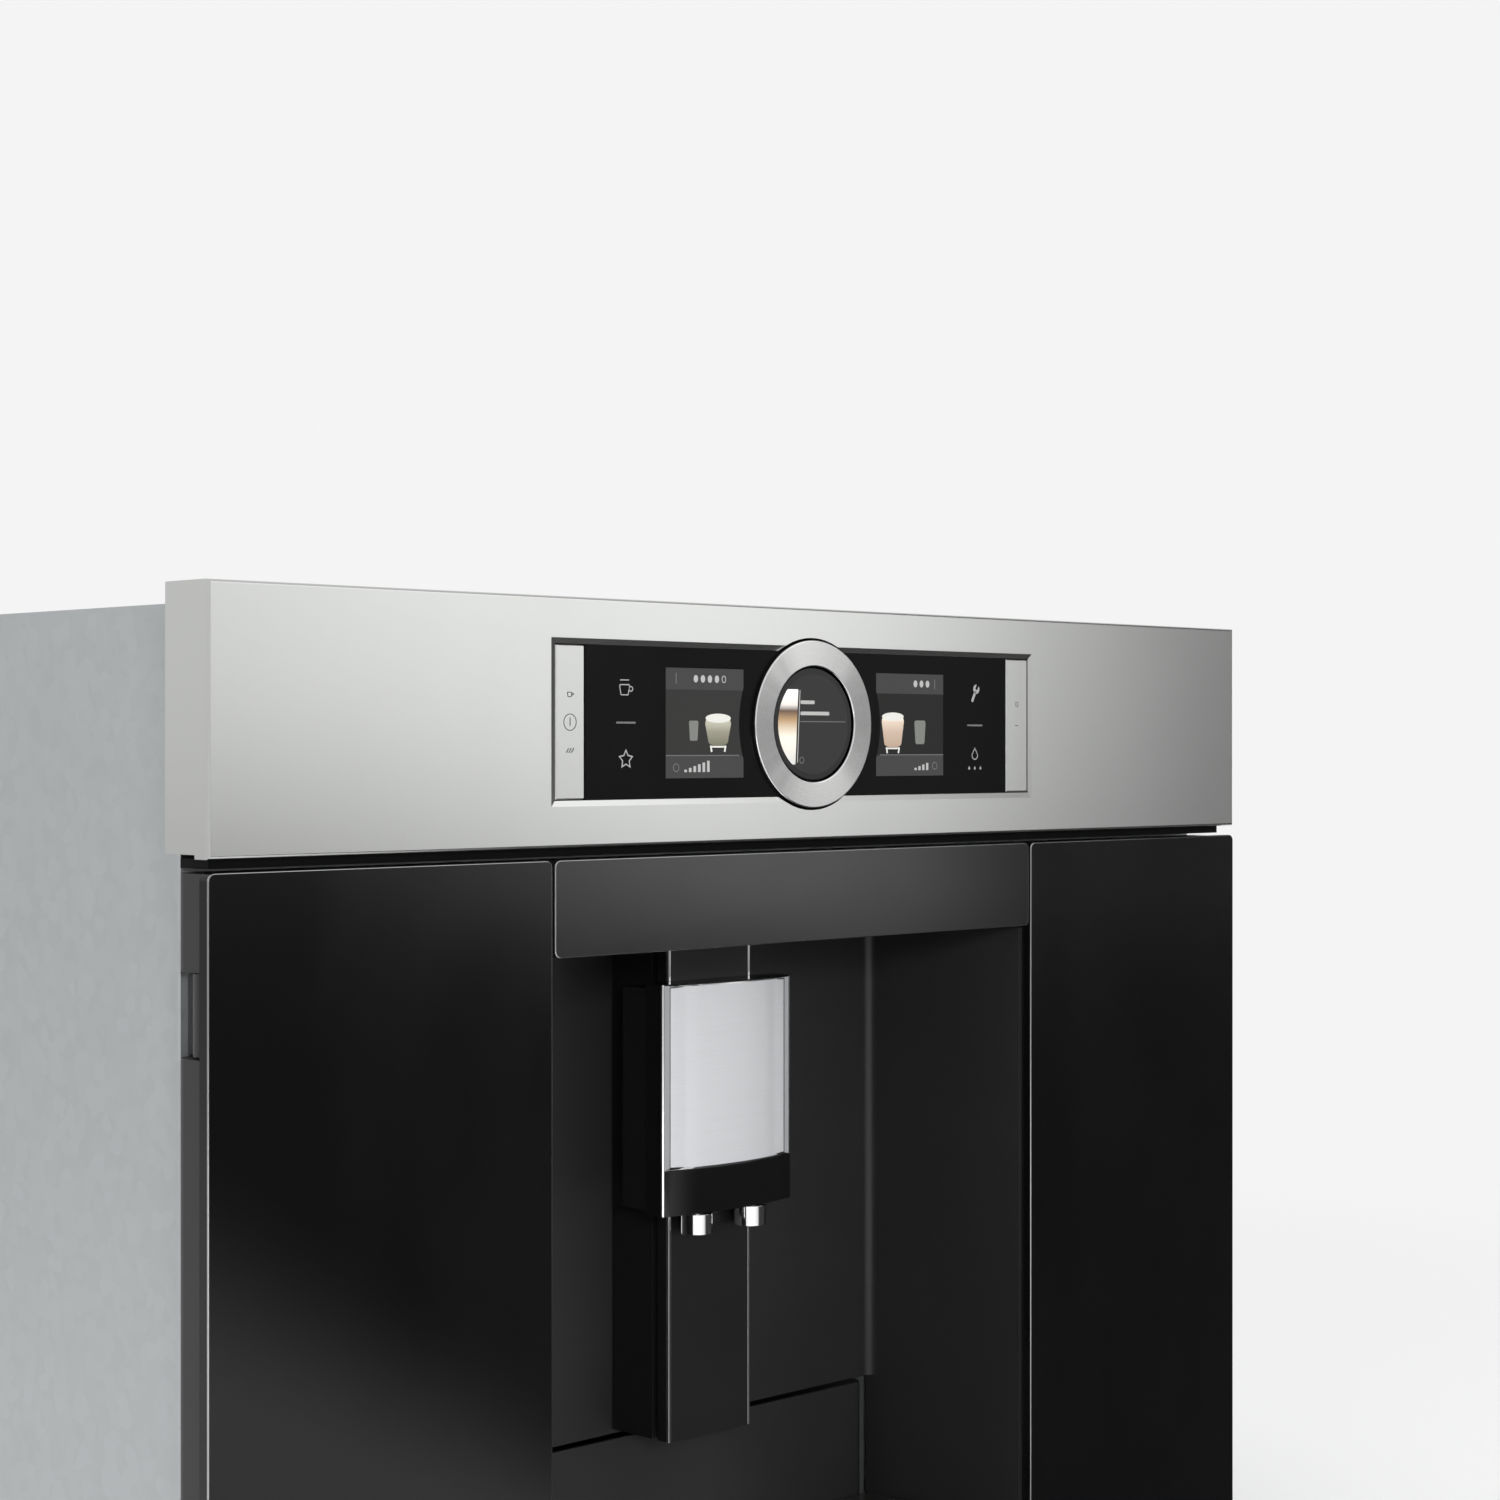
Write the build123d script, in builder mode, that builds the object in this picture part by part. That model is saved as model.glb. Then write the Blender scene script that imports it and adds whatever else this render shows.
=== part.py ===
from build123d import *
import os

os.makedirs("parts", exist_ok=True)

# Built-in coffee machine for a kitchen niche. A steel body carries a stainless fascia with a rotary
# control, a black glass door in the shape of an upside-down U, and a dispensing bay between its legs.
# Millimetres: X runs to the right, Y to the back, Z up, from the middle of the underside.
# A depth is a distance behind the front face that the fascia and the door glass share.

# ---- overall sizes ----
WIDTH = 594.0
HEIGHT = 455.0
DEPTH = 385.0
FRONT_OVERLAP = 19.0      # the front stands this far past the body on each side
TOP_OVERLAP = 6.0         # and the fascia this far above it

# ---- sheet, walls and clearances ----
SHEET = 1.5               # panels of the body
FRAME_SHEET = 2.0         # front frame, which takes the niche screws
WALL = 2.2                # moulded containers
FIT = 0.1                 # between pieces that are fixed to each other
RUNNING = 0.05            # radial clearance of a shaft in its bore
SEAT_GAP = 0.3            # between a removable piece and what it rests on
MOVING_GAP = 0.6          # between pieces that move past each other

# ---- fascia, controls and screens ----
FASCIA_HEIGHT = 96.0
FASCIA_GAP = 4.5          # dark joint between fascia and door
FASCIA_SKIN = 1.5
FASCIA_EDGE = 1.2         # rounding of the fascia's outer edges
LOWER_RETURN = 8.0        # depth of the fascia's bottom fold
DISPLAY_DROP = 48.0       # middle of the display below the fascia's top edge
DISPLAY_HALF = 140.5
DISPLAY_HEIGHT = 60.0
DISPLAY_BEVEL = 2.25      # width of the sloping edge round the opening
DISPLAY_RECESS = 0.6      # control glass, screens and keys behind the fascia's face
DISPLAY_RIM = 5.5         # width of the thicker rim behind the opening
DISPLAY_RIM_DEPTH = 4.5
CONTROL_GLASS_HALF = 125.0
CONTROL_GLASS_THICKNESS = 4.65
RING_PROUD = 1.5
RING_RADIUS = 34.75
RING_BORE = 24.0
RING_BACK = 0.0           # depth of the ring's rear face, just in front of the control glass
RING_CHAMFER = 1.2
RING_HOLE_GAP = 1.0       # round cut-out in the fascia, about the ring
HUB_RADIUS = 27.5
HUB_WALL = 3.0
HUB_END = 14.5            # depth of the hub's rear end
BEARING_WALL = 5.0
LENS_RECESS = 1.0         # centre display behind the ring's face
LENS_THICKNESS = 4.0
LENS_STEM = 20.0          # radius of the stem that carries the centre display
SCREEN_NEAR = 39.6
SCREEN_FAR = 82.9
SCREEN_HEIGHT = 44.0
SCREEN_THICKNESS = 4.55
KEY_GAP = 0.4
KEY_THICKNESS = 3.85
KEY_EDGE = 0.4
KEY_TRAVEL = 0.8
KEY_STEM = 3.0            # half size of the square stem behind a key
KEY_STEM_END = 10.4
SWITCH_GAP = 0.3          # left between stem and switch when the key is pressed
CARRIER_PLATE = 3.0
CARRIER_MARGIN = 3.0      # carrier inside the fascia's folds
LIP_DROP = 3.5            # carrier lip below the fascia
LIP_START = 6.5
WEB_HEIGHT = 14.0
POST_RISE = 25.0          # posts above and below the middle of the display
FRAME_POST_OUT = 70.25    # posts to the front frame, outside the display
FRAME_POST = 5.0
BOARD_POST_IN = 5.5       # posts to the display board, inside the keys
BOARD_POST = 3.0
BOARD_DEPTH = 16.5
BOARD_THICKNESS = 1.6

# ---- door ----
DOOR_BOTTOM = 3.0
DOOR_DEPTH = 24.0         # front face to front frame
GLASS_THICKNESS = 5.0
GLASS_CORNER = 3.0
GLASS_EDGE = 0.6
GLASS_JOINT = 1.25        # between the header glass and the leg glasses
HEADER_HEIGHT = 37.5
DOOR_WALL = 3.0
BACK_COVER = 1.4
FRAME_INSET = 1.0         # door frame inside the outer glass edge
LEG_CLEARANCE = 1.0       # door leg beside the bay liner
REVEAL = 2.0              # leg glass set back from the bay's opening
HINGE_INSET = 8.0         # hinge axis inside the left glass edge
HINGE_DEPTH = 12.0
HINGE_BOTTOMS = (40.0, 290.0)
HINGE_NOTCH = 30.0
KNUCKLE_RADIUS = 5.0
PIN_RADIUS = 2.5
PIN_GRIP = 8.0
ARM_WIDTH = 9.0
STILE_WIDTH = 23.0        # solid left edge of the door frame, which holds the hinge pins
NOTCH_WIDTH = 20.0
STILE_ROUND = 6.0
MAGNET_BOTTOMS = (95.0, 235.0)
MAGNET_HEIGHT = 30.0
MAGNET_WIDTH = 12.0
MAGNET_START = 14.0

# ---- niche fixing ----
FLANGE_INSET = 5.0        # front frame inside the fascia's sides
NICHE_SCREW_INSET = 11.0
NICHE_SCREW_LOW = 25.0
NICHE_SCREW_SPACING = 310.0
NICHE_SCREW_RADIUS = 2.25
SIDE_OPENING_INNER = 147.0
SIDE_OPENING_MARGIN = 8.0
SIDE_OPENING_BOTTOM = 12.0
SIDE_OPENING_RISE = 5.0   # side openings above the hopper's rim

# ---- body ----
PAN_HEIGHT = 14.0
RETURN_WIDTH = 12.0       # rear fold of the side panels
SCREW_HEAD = 1.9
SCREW_HEAD_RADIUS = 4.0
SCREW_SHANK = 1.6
SCREW_LENGTH = 9.0
SCREW_EDGE = 8.0          # rear screws inside the side panels
SCREW_LEVELS = (40.0, 225.0, 410.0)
VENT_LENGTH = 60.0
VENT_WIDTH = 4.0
VENT_PITCH = 10.0
VENT_COUNT = 12
VENT_DROP = 90.0          # middle of the vents below the top
SIDE_VENT_INSET = 83.0     # middle of the side vents before the rear edge
REAR_VENT_INSET = 73.0

# ---- dispensing bay and outlet ----
BAY_HALF = 140.0
BAY_DEPTH = 97.0
BAY_CORNER = 4.5
LINER_WALL = 2.5
LINER_SIDE_GAP = 0.5      # liner beside the partitions
LINER_BACK_RISE = 2.0     # liner's back wall above the grounds container
LINER_START = 5.5
LINER_HEADROOM = 24.5     # bay ceiling below the door's top edge
HEADER_CLEARANCE = 1.0
COLUMN_HALF = 24.4
COLUMN_FRONT = 61.0
COLUMN_WALL = 4.0
COLUMN_CLEARANCE = 4.0    # over the grounds container
TRIM_SIZE = 1.5
GROOVE_START = 68.0
GROOVE_WIDTH = 3.2
GROOVE_DEPTH = 2.8
OUTLET_DROP = 19.0        # outlet's top below the header
OUTLET_HALF = 38.5
OUTLET_HEIGHT = 97.3
OUTLET_BACK = 60.3
OUTLET_SIDE = 50.0        # depth where the outlet's side edges meet its crowned front
OUTLET_CROWN = 45.0
OUTLET_WALL = 2.0
PLATE_THICKNESS = 1.0
PLATE_HALF = 37.2
PLATE_HEIGHT = 77.5
PLATE_DROP = 0.5
CARRIAGE_BACK = 75.0
CARRIAGE_CHEEK = 38.0
CARRIAGE_INSIDE = 36.0
CARRIAGE_PLATE_FRONT = 57.6
CARRIAGE_RISE = 20.0      # carriage's front plate above the outlet's lower edge
FROTHER_HALF = 21.0
FROTHER_FRONT = 50.0
FROTHER_RISE = 6.0        # frother's underside above the outlet's lower edge
FROTHER_HEIGHT = 78.0
FROTHER_EDGE = 2.0
NOZZLE_X = 16.0
NOZZLE_DEPTH = 52.75
NOZZLE_RADIUS = 7.0
NOZZLE_NECK = 3.3
NOZZLE_BORE = 2.0
NOZZLE_LENGTH = 8.5
NOZZLE_DROP = 9.2         # nozzle tips below the cover's lower edge

# ---- drip tray and grounds container ----
TRAY_SIDE_GAP = 2.0
TRAY_START = 6.5
TRAY_END = 255.0
TRAY_BOTTOM = 2.0
TRAY_TOP = 43.0
BASIN_END = 92.0
BASIN_WALL = 2.5
DIVIDER_END = 95.0
TRAY_FRONT_FACE = 1.5
TRAY_FRONT_GAP = 0.5
TRAY_FRONT_TOP = 44.0
CONTAINER_TOP = 98.0
CONTAINER_CORNER = 6.0
GRATE_THICKNESS = 2.0
GRATE_MARGIN = 0.8
GRATE_SLOT = 4.0
GRATE_PITCH = 9.0
GRATE_SLOTS = 19
GRATE_BORDER = 5.0
FLOAT_INSET = 26.0        # from the side of the tray
FLOAT_DEPTH = 50.0
FLOAT_RADIUS = 12.0
FLOAT_DISC = 4.0
FLOAT_STEM = 5.0
FLOAT_ROUND = 2.0
FLOAT_PROUD = 2.5         # float's tip above the grate
THUMB_HOLE = 10.0

# ---- hopper, grinder and brew unit in the left compartment ----
UNIT_INNER_GAP = 5.5      # units beside the partition
UNIT_OUTER_GAP = 22.0     # units beside the body's side, clear of the swinging door
UNIT_START = 34.0
HOPPER_END = 170.0
HOPPER_HEIGHT = 81.6
HOPPER_DROP = 9.5         # hopper's rim below the door's top edge
HOPPER_MOUTH_END = 72.0   # short enough for the lid to open before the band once the hopper is out
HOPPER_OUTLET = 18.0
HOPPER_CORNER = 6.0
LID_THICKNESS = 2.0
BARREL_RADIUS = 2.0
BARREL_PIN = 1.2
LUG_WIDTH = 4.0
LUG_LENGTH = 4.2
LUG_CLEARANCE = 1.2       # lid's rear edge in front of a lug, so that it passes the lug's corner
LID_LIFT = 0.4            # lid above the rim
GRINDER_START = 45.0
GRINDER_END = 175.0
GRINDER_HEIGHT = 46.8
GRINDER_INSET = 4.0
GRINDER_DEPTH = 110.0     # axis of the burrs
GRINDER_FLOOR = 12.0
BURR_CHAMBER = 30.0
BURR_HEIGHT = 18.0
BURR_TOP_BORE = 20.0
BURR_LOW_BORE = 24.0
CONE_TOP = 10.0
CONE_LOW = 23.2
CONE_INSET = 1.0
BURR_SHAFT = 4.0
GROUNDS_DROP_DEPTH = 128.0
GROUNDS_DROP_RADIUS = 8.0
MOTOR_DEPTH = 215.0
MOTOR_RADIUS = 30.0
MOTOR_HEIGHT = 84.0
MOTOR_ROUND = 6.0
MOTOR_SHAFT_LENGTH = 12.0
SHELF_MARGIN = 7.0        # left shelf past the motor
LEVER_RISE = 25.0
LEVER_TRAVEL = 12.0
LEVER_STEM = 2.0
LEVER_KNOB = 6.0
LEVER_FRONT = 33.0
LEVER_STEM_END = 50.0
LEVER_SLOT_DEPTH = 8.0
BREW_BOTTOM = 16.0
BREW_HEADROOM = 10.0
BREW_END = 150.0
BREW_CORNER = 6.0
BREW_AXIS_DEPTH = 100.0
CHAMBER_RADIUS = 23.0
CHAMBER_LENGTH = 84.5
PISTON_HEIGHT = 15.0
PISTON_DROP = 39.5        # piston's face below the brew unit's top
PISTON_ROD = 5.0
PISTON_ROD_LENGTH = 75.0
BREW_FLOOR = 24.0         # height of the brew unit's lower cavity above its underside
BREW_CAVITY = 30.0
CHAMBER_FLOOR = 10.0
CRADLE_RAIL = 6.0
CRADLE_FLOOR = 2.5
CRADLE_INSET = 2.0        # cradle inside the brew unit's sides
DRIVE_START = 156.0
DRIVE_END = 180.0
DRIVE_HEIGHT = 150.0
DRIVE_MOTOR_RADIUS = 18.0
DRIVE_MOTOR_END = 240.0
DRIVE_MOTOR_Z = 90.0
DRIVE_SHAFT = 5.0
CHUTE_START = 104.0
CHUTE_END = 146.0
CHUTE_WIDTH = 41.5
CHUTE_HEIGHT = 58.0
CHUTE_WALL = 2.0
CHUTE_WINDOW_LOW = 125.0
CHUTE_WINDOW_HIGH = 160.0

# ---- water tank in the right compartment ----
TANK_OUTER_GAP = 16.0
TANK_BOTTOM = 20.0
TANK_HEIGHT = 215.0
TANK_END = 150.0
TANK_CORNER = 8.0
TANK_MOUTH_START = 92.0
TANK_MOUTH_END = 142.0
TANK_AXIS_DEPTH = 146.5
HANDLE_AXIS_DEPTH = 84.0
HANDLE_START = 41.0
HANDLE_BAR = 4.8
HANDLE_RISE = 3.0         # handle's axis above the tank's top
HANDLE_PIN = 1.5
SEAT_WALL = 3.0
SEAT_WALL_TOP = 70.0
SEAT_END = 158.0
SPIGOT_RADIUS = 5.0
SPIGOT_LENGTH = 8.0
PORT_Z = 40.0
PORT_CLEARANCE = 0.6

# ---- pump, heater, boards and hoses behind the bay ----
SHELF_RISE = 7.0          # centre shelf above the grounds container
PUMP_X = 60.0
PUMP_RADIUS = 22.0
PUMP_START = 140.0
PUMP_END = 215.0
PUMP_NECK = 7.0
PUMP_RISE = 26.0
HEATER_LEFT = -85.0
HEATER_RIGHT = 25.0
HEATER_START = 155.0
HEATER_END = 215.0
HEATER_HEIGHT = 75.0
HEATER_FINS = 6
HEATER_PITCH = 17.0
HEATER_GROOVE = 5.0
POWER_HALF = 110.0
POWER_HEIGHT = 200.0
POWER_DROP = 47.0
POWER_STANDOFF = 34.8
STANDOFF_INSET = 14.0
STANDOFF_RADIUS = 3.0
COMPONENT_DEPTH = 28.0
COMPONENT_RISE = 32.0
TRANSFORMERS = ((-55.0, 25.0, 55.0), (19.0, 9.0, 35.0), (49.0, 9.0, 35.0))   # middle, half width, height
CAPACITORS = (-60.0, -30.0, 0.0, 30.0)
CAPACITOR_DROP = 50.0
CAPACITOR_RADIUS = 9.0
INLET_INSET = 73.0        # inlet inside the body's right side
INLET_Z = 60.0
INLET_HALF_WIDTH = 12.2
INLET_HALF_HEIGHT = 8.2
INLET_WALL = 1.6
INLET_DEPTH = 22.0
INLET_RECESS = 18.0
INLET_FLANGE = 3.0
PIN_LENGTH = 12.0
PIN_PITCH = 7.0
PIN_STEP = 2.0            # middle pin above, and the outer two below, the middle of the inlet
CONTACT_RADIUS = 2.0
HOSE_RADIUS = 3.0
HOSE_HOLE = 5.0
HOSE_BEND = 12.0
PUMP_HOSE_BEND = 7.0
TANK_HOSE_BACK = 250.0
PUMP_HOSE_FRONT = 118.0
PUMP_HOSE_X = 0.0
OUTLET_HOSE_DROP = 28.4   # outlet hose below the bay's ceiling
BREW_HOSE_DEPTH = 168.0
BREW_HOSE_Z = 140.0

# ---- places that follow from the sizes above ----
FRONT_Y = RING_PROUD - DEPTH / 2
HALF = WIDTH / 2
BODY_HALF = HALF - FRONT_OVERLAP
BODY_TOP = HEIGHT - TOP_OVERLAP
BODY_START = DOOR_DEPTH + FRAME_SHEET
REAR_EDGE = DEPTH - RING_PROUD
REAR_FACE = REAR_EDGE - SCREW_HEAD - FIT
INNER_REAR = REAR_FACE - SHEET - FIT
INNER_HALF = BODY_HALF - SHEET - FIT
INNER_TOP = BODY_TOP - SHEET - FIT
INLET_X = BODY_HALF - INLET_INSET
NICHE_SCREW_X = HALF - NICHE_SCREW_INSET
PAN_TOP = SHEET + FIT
FASCIA_BOTTOM = HEIGHT - FASCIA_HEIGHT
DISPLAY_Z = HEIGHT - DISPLAY_DROP
DISPLAY_TOP = DISPLAY_Z + DISPLAY_HEIGHT / 2
DISPLAY_BOTTOM = DISPLAY_Z - DISPLAY_HEIGHT / 2
CONTROL_GLASS_BACK = DISPLAY_RECESS + CONTROL_GLASS_THICKNESS
CARRIER_BACK = CONTROL_GLASS_BACK + CARRIER_PLATE
KEY_NEAR = CONTROL_GLASS_HALF + KEY_GAP
KEY_FAR = DISPLAY_HALF - SEAT_GAP
KEY_X = (KEY_NEAR + KEY_FAR) / 2
KEY_HALF_HEIGHT = DISPLAY_HEIGHT / 2 - KEY_GAP
KEY_BACK = DISPLAY_RECESS + KEY_THICKNESS
DOOR_TOP = FASCIA_BOTTOM - FASCIA_GAP
DOOR_BACK = DOOR_DEPTH - MOVING_GAP
COVER_FRONT = DOOR_BACK - BACK_COVER
HEADER_BOTTOM = DOOR_TOP - HEADER_HEIGHT
GLASS_INNER = BAY_HALF + REVEAL
LINER_HALF = BAY_HALF + LINER_WALL
LINER_BACK = BAY_DEPTH + LINER_WALL
BAY_TOP = DOOR_TOP - LINER_HEADROOM
LINER_TOP = BAY_TOP + LINER_WALL
LINER_SHOULDER = HEADER_BOTTOM - HEADER_CLEARANCE
LINER_BACK_BOTTOM = CONTAINER_TOP + LINER_BACK_RISE
LEG_INNER = LINER_HALF + LEG_CLEARANCE
FRAME_OUTER = HALF - FRAME_INSET
FRAME_BOTTOM = DOOR_BOTTOM + FRAME_INSET / 2
FRAME_TOP = DOOR_TOP - FRAME_INSET / 2
HEADER_FRAME_BOTTOM = HEADER_BOTTOM + FRAME_INSET / 2
HINGE_X = HINGE_INSET - HALF
PARTITION = LINER_HALF + LINER_SIDE_GAP
CELL_INNER = PARTITION + SHEET
UNIT_INNER = CELL_INNER + UNIT_INNER_GAP
UNIT_OUTER = BODY_HALF - UNIT_OUTER_GAP
UNIT_X = -(UNIT_INNER + UNIT_OUTER) / 2
TANK_OUTER = BODY_HALF - TANK_OUTER_GAP
TANK_X = (UNIT_INNER + TANK_OUTER) / 2
TANK_TOP = TANK_BOTTOM + TANK_HEIGHT
OUTLET_TOP = HEADER_BOTTOM - OUTLET_DROP
OUTLET_BOTTOM = OUTLET_TOP - OUTLET_HEIGHT
HOPPER_TOP = DOOR_TOP - HOPPER_DROP
HOPPER_BOTTOM = HOPPER_TOP - HOPPER_HEIGHT
GRINDER_TOP = HOPPER_BOTTOM - SEAT_GAP
GRINDER_BOTTOM = GRINDER_TOP - GRINDER_HEIGHT
GRINDER_SHELF = GRINDER_BOTTOM - FIT
CONTAINER_HALF = BAY_HALF - TRAY_SIDE_GAP - BASIN_WALL - MOVING_GAP
TRAY_HALF = BAY_HALF - TRAY_SIDE_GAP
FLOAT_X = TRAY_HALF - FLOAT_INSET
RING_HOLE = RING_RADIUS + RING_HOLE_GAP
COLUMN_BOTTOM = CONTAINER_TOP + COLUMN_CLEARANCE
SHELF_BOTTOM = CONTAINER_TOP + SHELF_RISE
SHELF_TOP = SHELF_BOTTOM + SHEET
BREW_TOP = GRINDER_SHELF - SHEET - BREW_HEADROOM
CHAMBER_BOTTOM = BREW_TOP - CHAMBER_LENGTH
PUMP_Z = SHELF_TOP + PUMP_RISE


def behind(depth):
    """Y of the plane this far behind the front face."""
    return FRONT_Y + depth


def upright(depth):
    """Upright sketch plane at a depth: x is X, y is Z, and a negative extrusion runs backwards."""
    return Plane(origin=(0, behind(depth), 0), x_dir=(1, 0, 0), z_dir=(0, -1, 0))


def level(height):
    """Level sketch plane at a height: x is X, y is Y."""
    return Plane.XY.offset(height)


def span(x0, x1, y0, y1, mode=Mode.ADD):
    """Rectangle between two pairs of edges, in the current sketch."""
    with Locations(((x0 + x1) / 2, (y0 + y1) / 2)):
        Rectangle(x1 - x0, y1 - y0, mode=mode)


def block(x0, x1, depth0, depth1, z0, z1, mode=Mode.ADD):
    """Box between two X, two depths and two heights, in the current part."""
    with Locations(((x0 + x1) / 2, behind((depth0 + depth1) / 2), (z0 + z1) / 2)):
        Box(x1 - x0, depth1 - depth0, z1 - z0, mode=mode)


def post(x, depth, radius, z0, z1, mode=Mode.ADD):
    """Round bar or hole along Z, in the current part."""
    with Locations((x, behind(depth), (z0 + z1) / 2)):
        Cylinder(radius, z1 - z0, mode=mode)


def rod(x, z, radius, depth0, depth1, mode=Mode.ADD):
    """Round bar or hole along Y, in the current part."""
    with Locations((x, behind((depth0 + depth1) / 2), z)):
        Cylinder(radius, depth1 - depth0, rotation=(90, 0, 0), mode=mode)


def bar(depth, z, radius, x0, x1, mode=Mode.ADD):
    """Round bar or hole along X, in the current part."""
    with Locations(((x0 + x1) / 2, behind(depth), z)):
        Cylinder(radius, x1 - x0, rotation=(0, 90, 0), mode=mode)


def crowned(half, side, crown, back):
    """Outline, in the current line, of a shape with straight sides and a crowned front."""
    left = (-half, behind(side))
    right = (half, behind(side))
    Polyline(left, (-half, behind(back)), (half, behind(back)), right)
    ThreePointArc(left, (0, behind(crown)), right)


# ======== body ========

with BuildPart() as base_pan:
    with BuildSketch(level(0)):
        span(-INNER_HALF, INNER_HALF, behind(BODY_START), behind(INNER_REAR))
    extrude(amount=PAN_HEIGHT)
    with BuildSketch(level(SHEET)):
        span(SHEET - INNER_HALF, INNER_HALF - SHEET, behind(BODY_START), behind(INNER_REAR - SHEET))
    extrude(amount=PAN_HEIGHT, mode=Mode.SUBTRACT)
base_pan.part.label = "base_pan"
export_step(base_pan.part, "parts/base_pan.step")

with BuildPart() as left_side_panel:
    with BuildSketch(Plane.YZ.offset(-BODY_HALF)):
        span(behind(BODY_START), behind(REAR_EDGE), 0, BODY_TOP)
        with Locations((behind(REAR_EDGE - SIDE_VENT_INSET), BODY_TOP - VENT_DROP)):
            with GridLocations(0, VENT_PITCH, 1, VENT_COUNT):
                SlotOverall(VENT_LENGTH, VENT_WIDTH, mode=Mode.SUBTRACT)
    extrude(amount=SHEET)
    fold = (SHEET - BODY_HALF, SHEET + RETURN_WIDTH - BODY_HALF, INNER_REAR - SHEET, INNER_REAR)
    block(*fold, PAN_HEIGHT + FIT, INNER_TOP - PAN_HEIGHT)
    for screw_z in SCREW_LEVELS:
        rod(SCREW_EDGE - BODY_HALF, screw_z, SCREW_SHANK + FIT, INNER_REAR - SHEET, INNER_REAR, Mode.SUBTRACT)
left_side_panel.part.label = "left_side_panel"
export_step(left_side_panel.part, "parts/left_side_panel.step")

with BuildPart() as right_side_panel:
    mirror(left_side_panel.part, about=Plane.YZ)
right_side_panel.part.label = "right_side_panel"
export_step(right_side_panel.part, "parts/right_side_panel.step")

with BuildPart() as rear_panel:
    with BuildSketch(upright(REAR_FACE)):
        span(-INNER_HALF, INNER_HALF, 0, BODY_TOP)
        vent_x = BODY_HALF - REAR_VENT_INSET
        with Locations((-vent_x, BODY_TOP - VENT_DROP), (vent_x, BODY_TOP - VENT_DROP)):
            with GridLocations(0, VENT_PITCH, 1, VENT_COUNT):
                SlotOverall(VENT_LENGTH, VENT_WIDTH, mode=Mode.SUBTRACT)
        with Locations((INLET_X, INLET_Z)):
            Rectangle(
                2 * (INLET_HALF_WIDTH + INLET_WALL + FIT),
                2 * (INLET_HALF_HEIGHT + INLET_WALL + FIT),
                mode=Mode.SUBTRACT,
            )
        for screw_z in SCREW_LEVELS:
            with Locations((SCREW_EDGE - BODY_HALF, screw_z), (BODY_HALF - SCREW_EDGE, screw_z)):
                Circle(SCREW_SHANK + FIT, mode=Mode.SUBTRACT)
    extrude(amount=SHEET)
rear_panel.part.label = "rear_panel"
export_step(rear_panel.part, "parts/rear_panel.step")

with BuildPart() as top_cover:
    with BuildSketch(level(BODY_TOP)):
        span(-INNER_HALF, INNER_HALF, behind(BODY_START), behind(INNER_REAR))
    extrude(amount=-PAN_HEIGHT)
    with BuildSketch(level(BODY_TOP - SHEET)):
        span(SHEET - INNER_HALF, INNER_HALF - SHEET, behind(BODY_START), behind(INNER_REAR - SHEET))
    extrude(amount=-PAN_HEIGHT, mode=Mode.SUBTRACT)
top_cover.part.label = "top_cover"
export_step(top_cover.part, "parts/top_cover.step")

with BuildPart() as housing_screws:
    for screw_z in SCREW_LEVELS:
        for screw_x in (SCREW_EDGE - BODY_HALF, BODY_HALF - SCREW_EDGE):
            rod(screw_x, screw_z, SCREW_HEAD_RADIUS, REAR_FACE, REAR_FACE + SCREW_HEAD)
            rod(screw_x, screw_z, SCREW_SHANK, REAR_FACE - SCREW_LENGTH, REAR_FACE)
housing_screws.part.label = "housing_screws"
export_step(housing_screws.part, "parts/housing_screws.step")

with BuildPart() as front_frame:
    with BuildSketch(upright(DOOR_DEPTH)):
        flange_half = HALF - FLANGE_INSET
        opening_outer = BODY_HALF - SIDE_OPENING_MARGIN
        opening_top = HOPPER_TOP + SIDE_OPENING_RISE
        span(-flange_half, flange_half, DOOR_BOTTOM, HEIGHT - FASCIA_SKIN - FIT)
        span(-PARTITION, PARTITION, DOOR_BOTTOM, LINER_TOP + FIT, mode=Mode.SUBTRACT)
        span(SIDE_OPENING_INNER, opening_outer, SIDE_OPENING_BOTTOM, opening_top, mode=Mode.SUBTRACT)
        span(-opening_outer, -SIDE_OPENING_INNER, SIDE_OPENING_BOTTOM, opening_top, mode=Mode.SUBTRACT)
        with Locations((0, NICHE_SCREW_LOW + NICHE_SCREW_SPACING / 2)):
            with GridLocations(2 * NICHE_SCREW_X, NICHE_SCREW_SPACING, 2, 2):
                Circle(NICHE_SCREW_RADIUS, mode=Mode.SUBTRACT)
    extrude(amount=-FRAME_SHEET)
front_frame.part.label = "front_frame"
export_step(front_frame.part, "parts/front_frame.step")

with BuildPart() as partitions:
    for x0, x1 in ((-CELL_INNER, -PARTITION), (PARTITION, CELL_INNER)):
        block(x0, x1, BODY_START + FIT, INNER_REAR - SHEET - FIT, PAN_TOP, INNER_TOP - FIT)
    window = (CHUTE_START + 2 * CHUTE_WALL, CHUTE_END - 2 * CHUTE_WALL, CHUTE_WINDOW_LOW, CHUTE_WINDOW_HIGH)
    block(-CELL_INNER, -PARTITION, *window, mode=Mode.SUBTRACT)
    bar(BREW_HOSE_DEPTH, BREW_HOSE_Z, HOSE_HOLE, -CELL_INNER, -PARTITION, Mode.SUBTRACT)
    bar(TANK_HOSE_BACK, PUMP_Z, HOSE_HOLE, PARTITION, CELL_INNER, Mode.SUBTRACT)
partitions.part.label = "partitions"
export_step(partitions.part, "parts/partitions.step")

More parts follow.
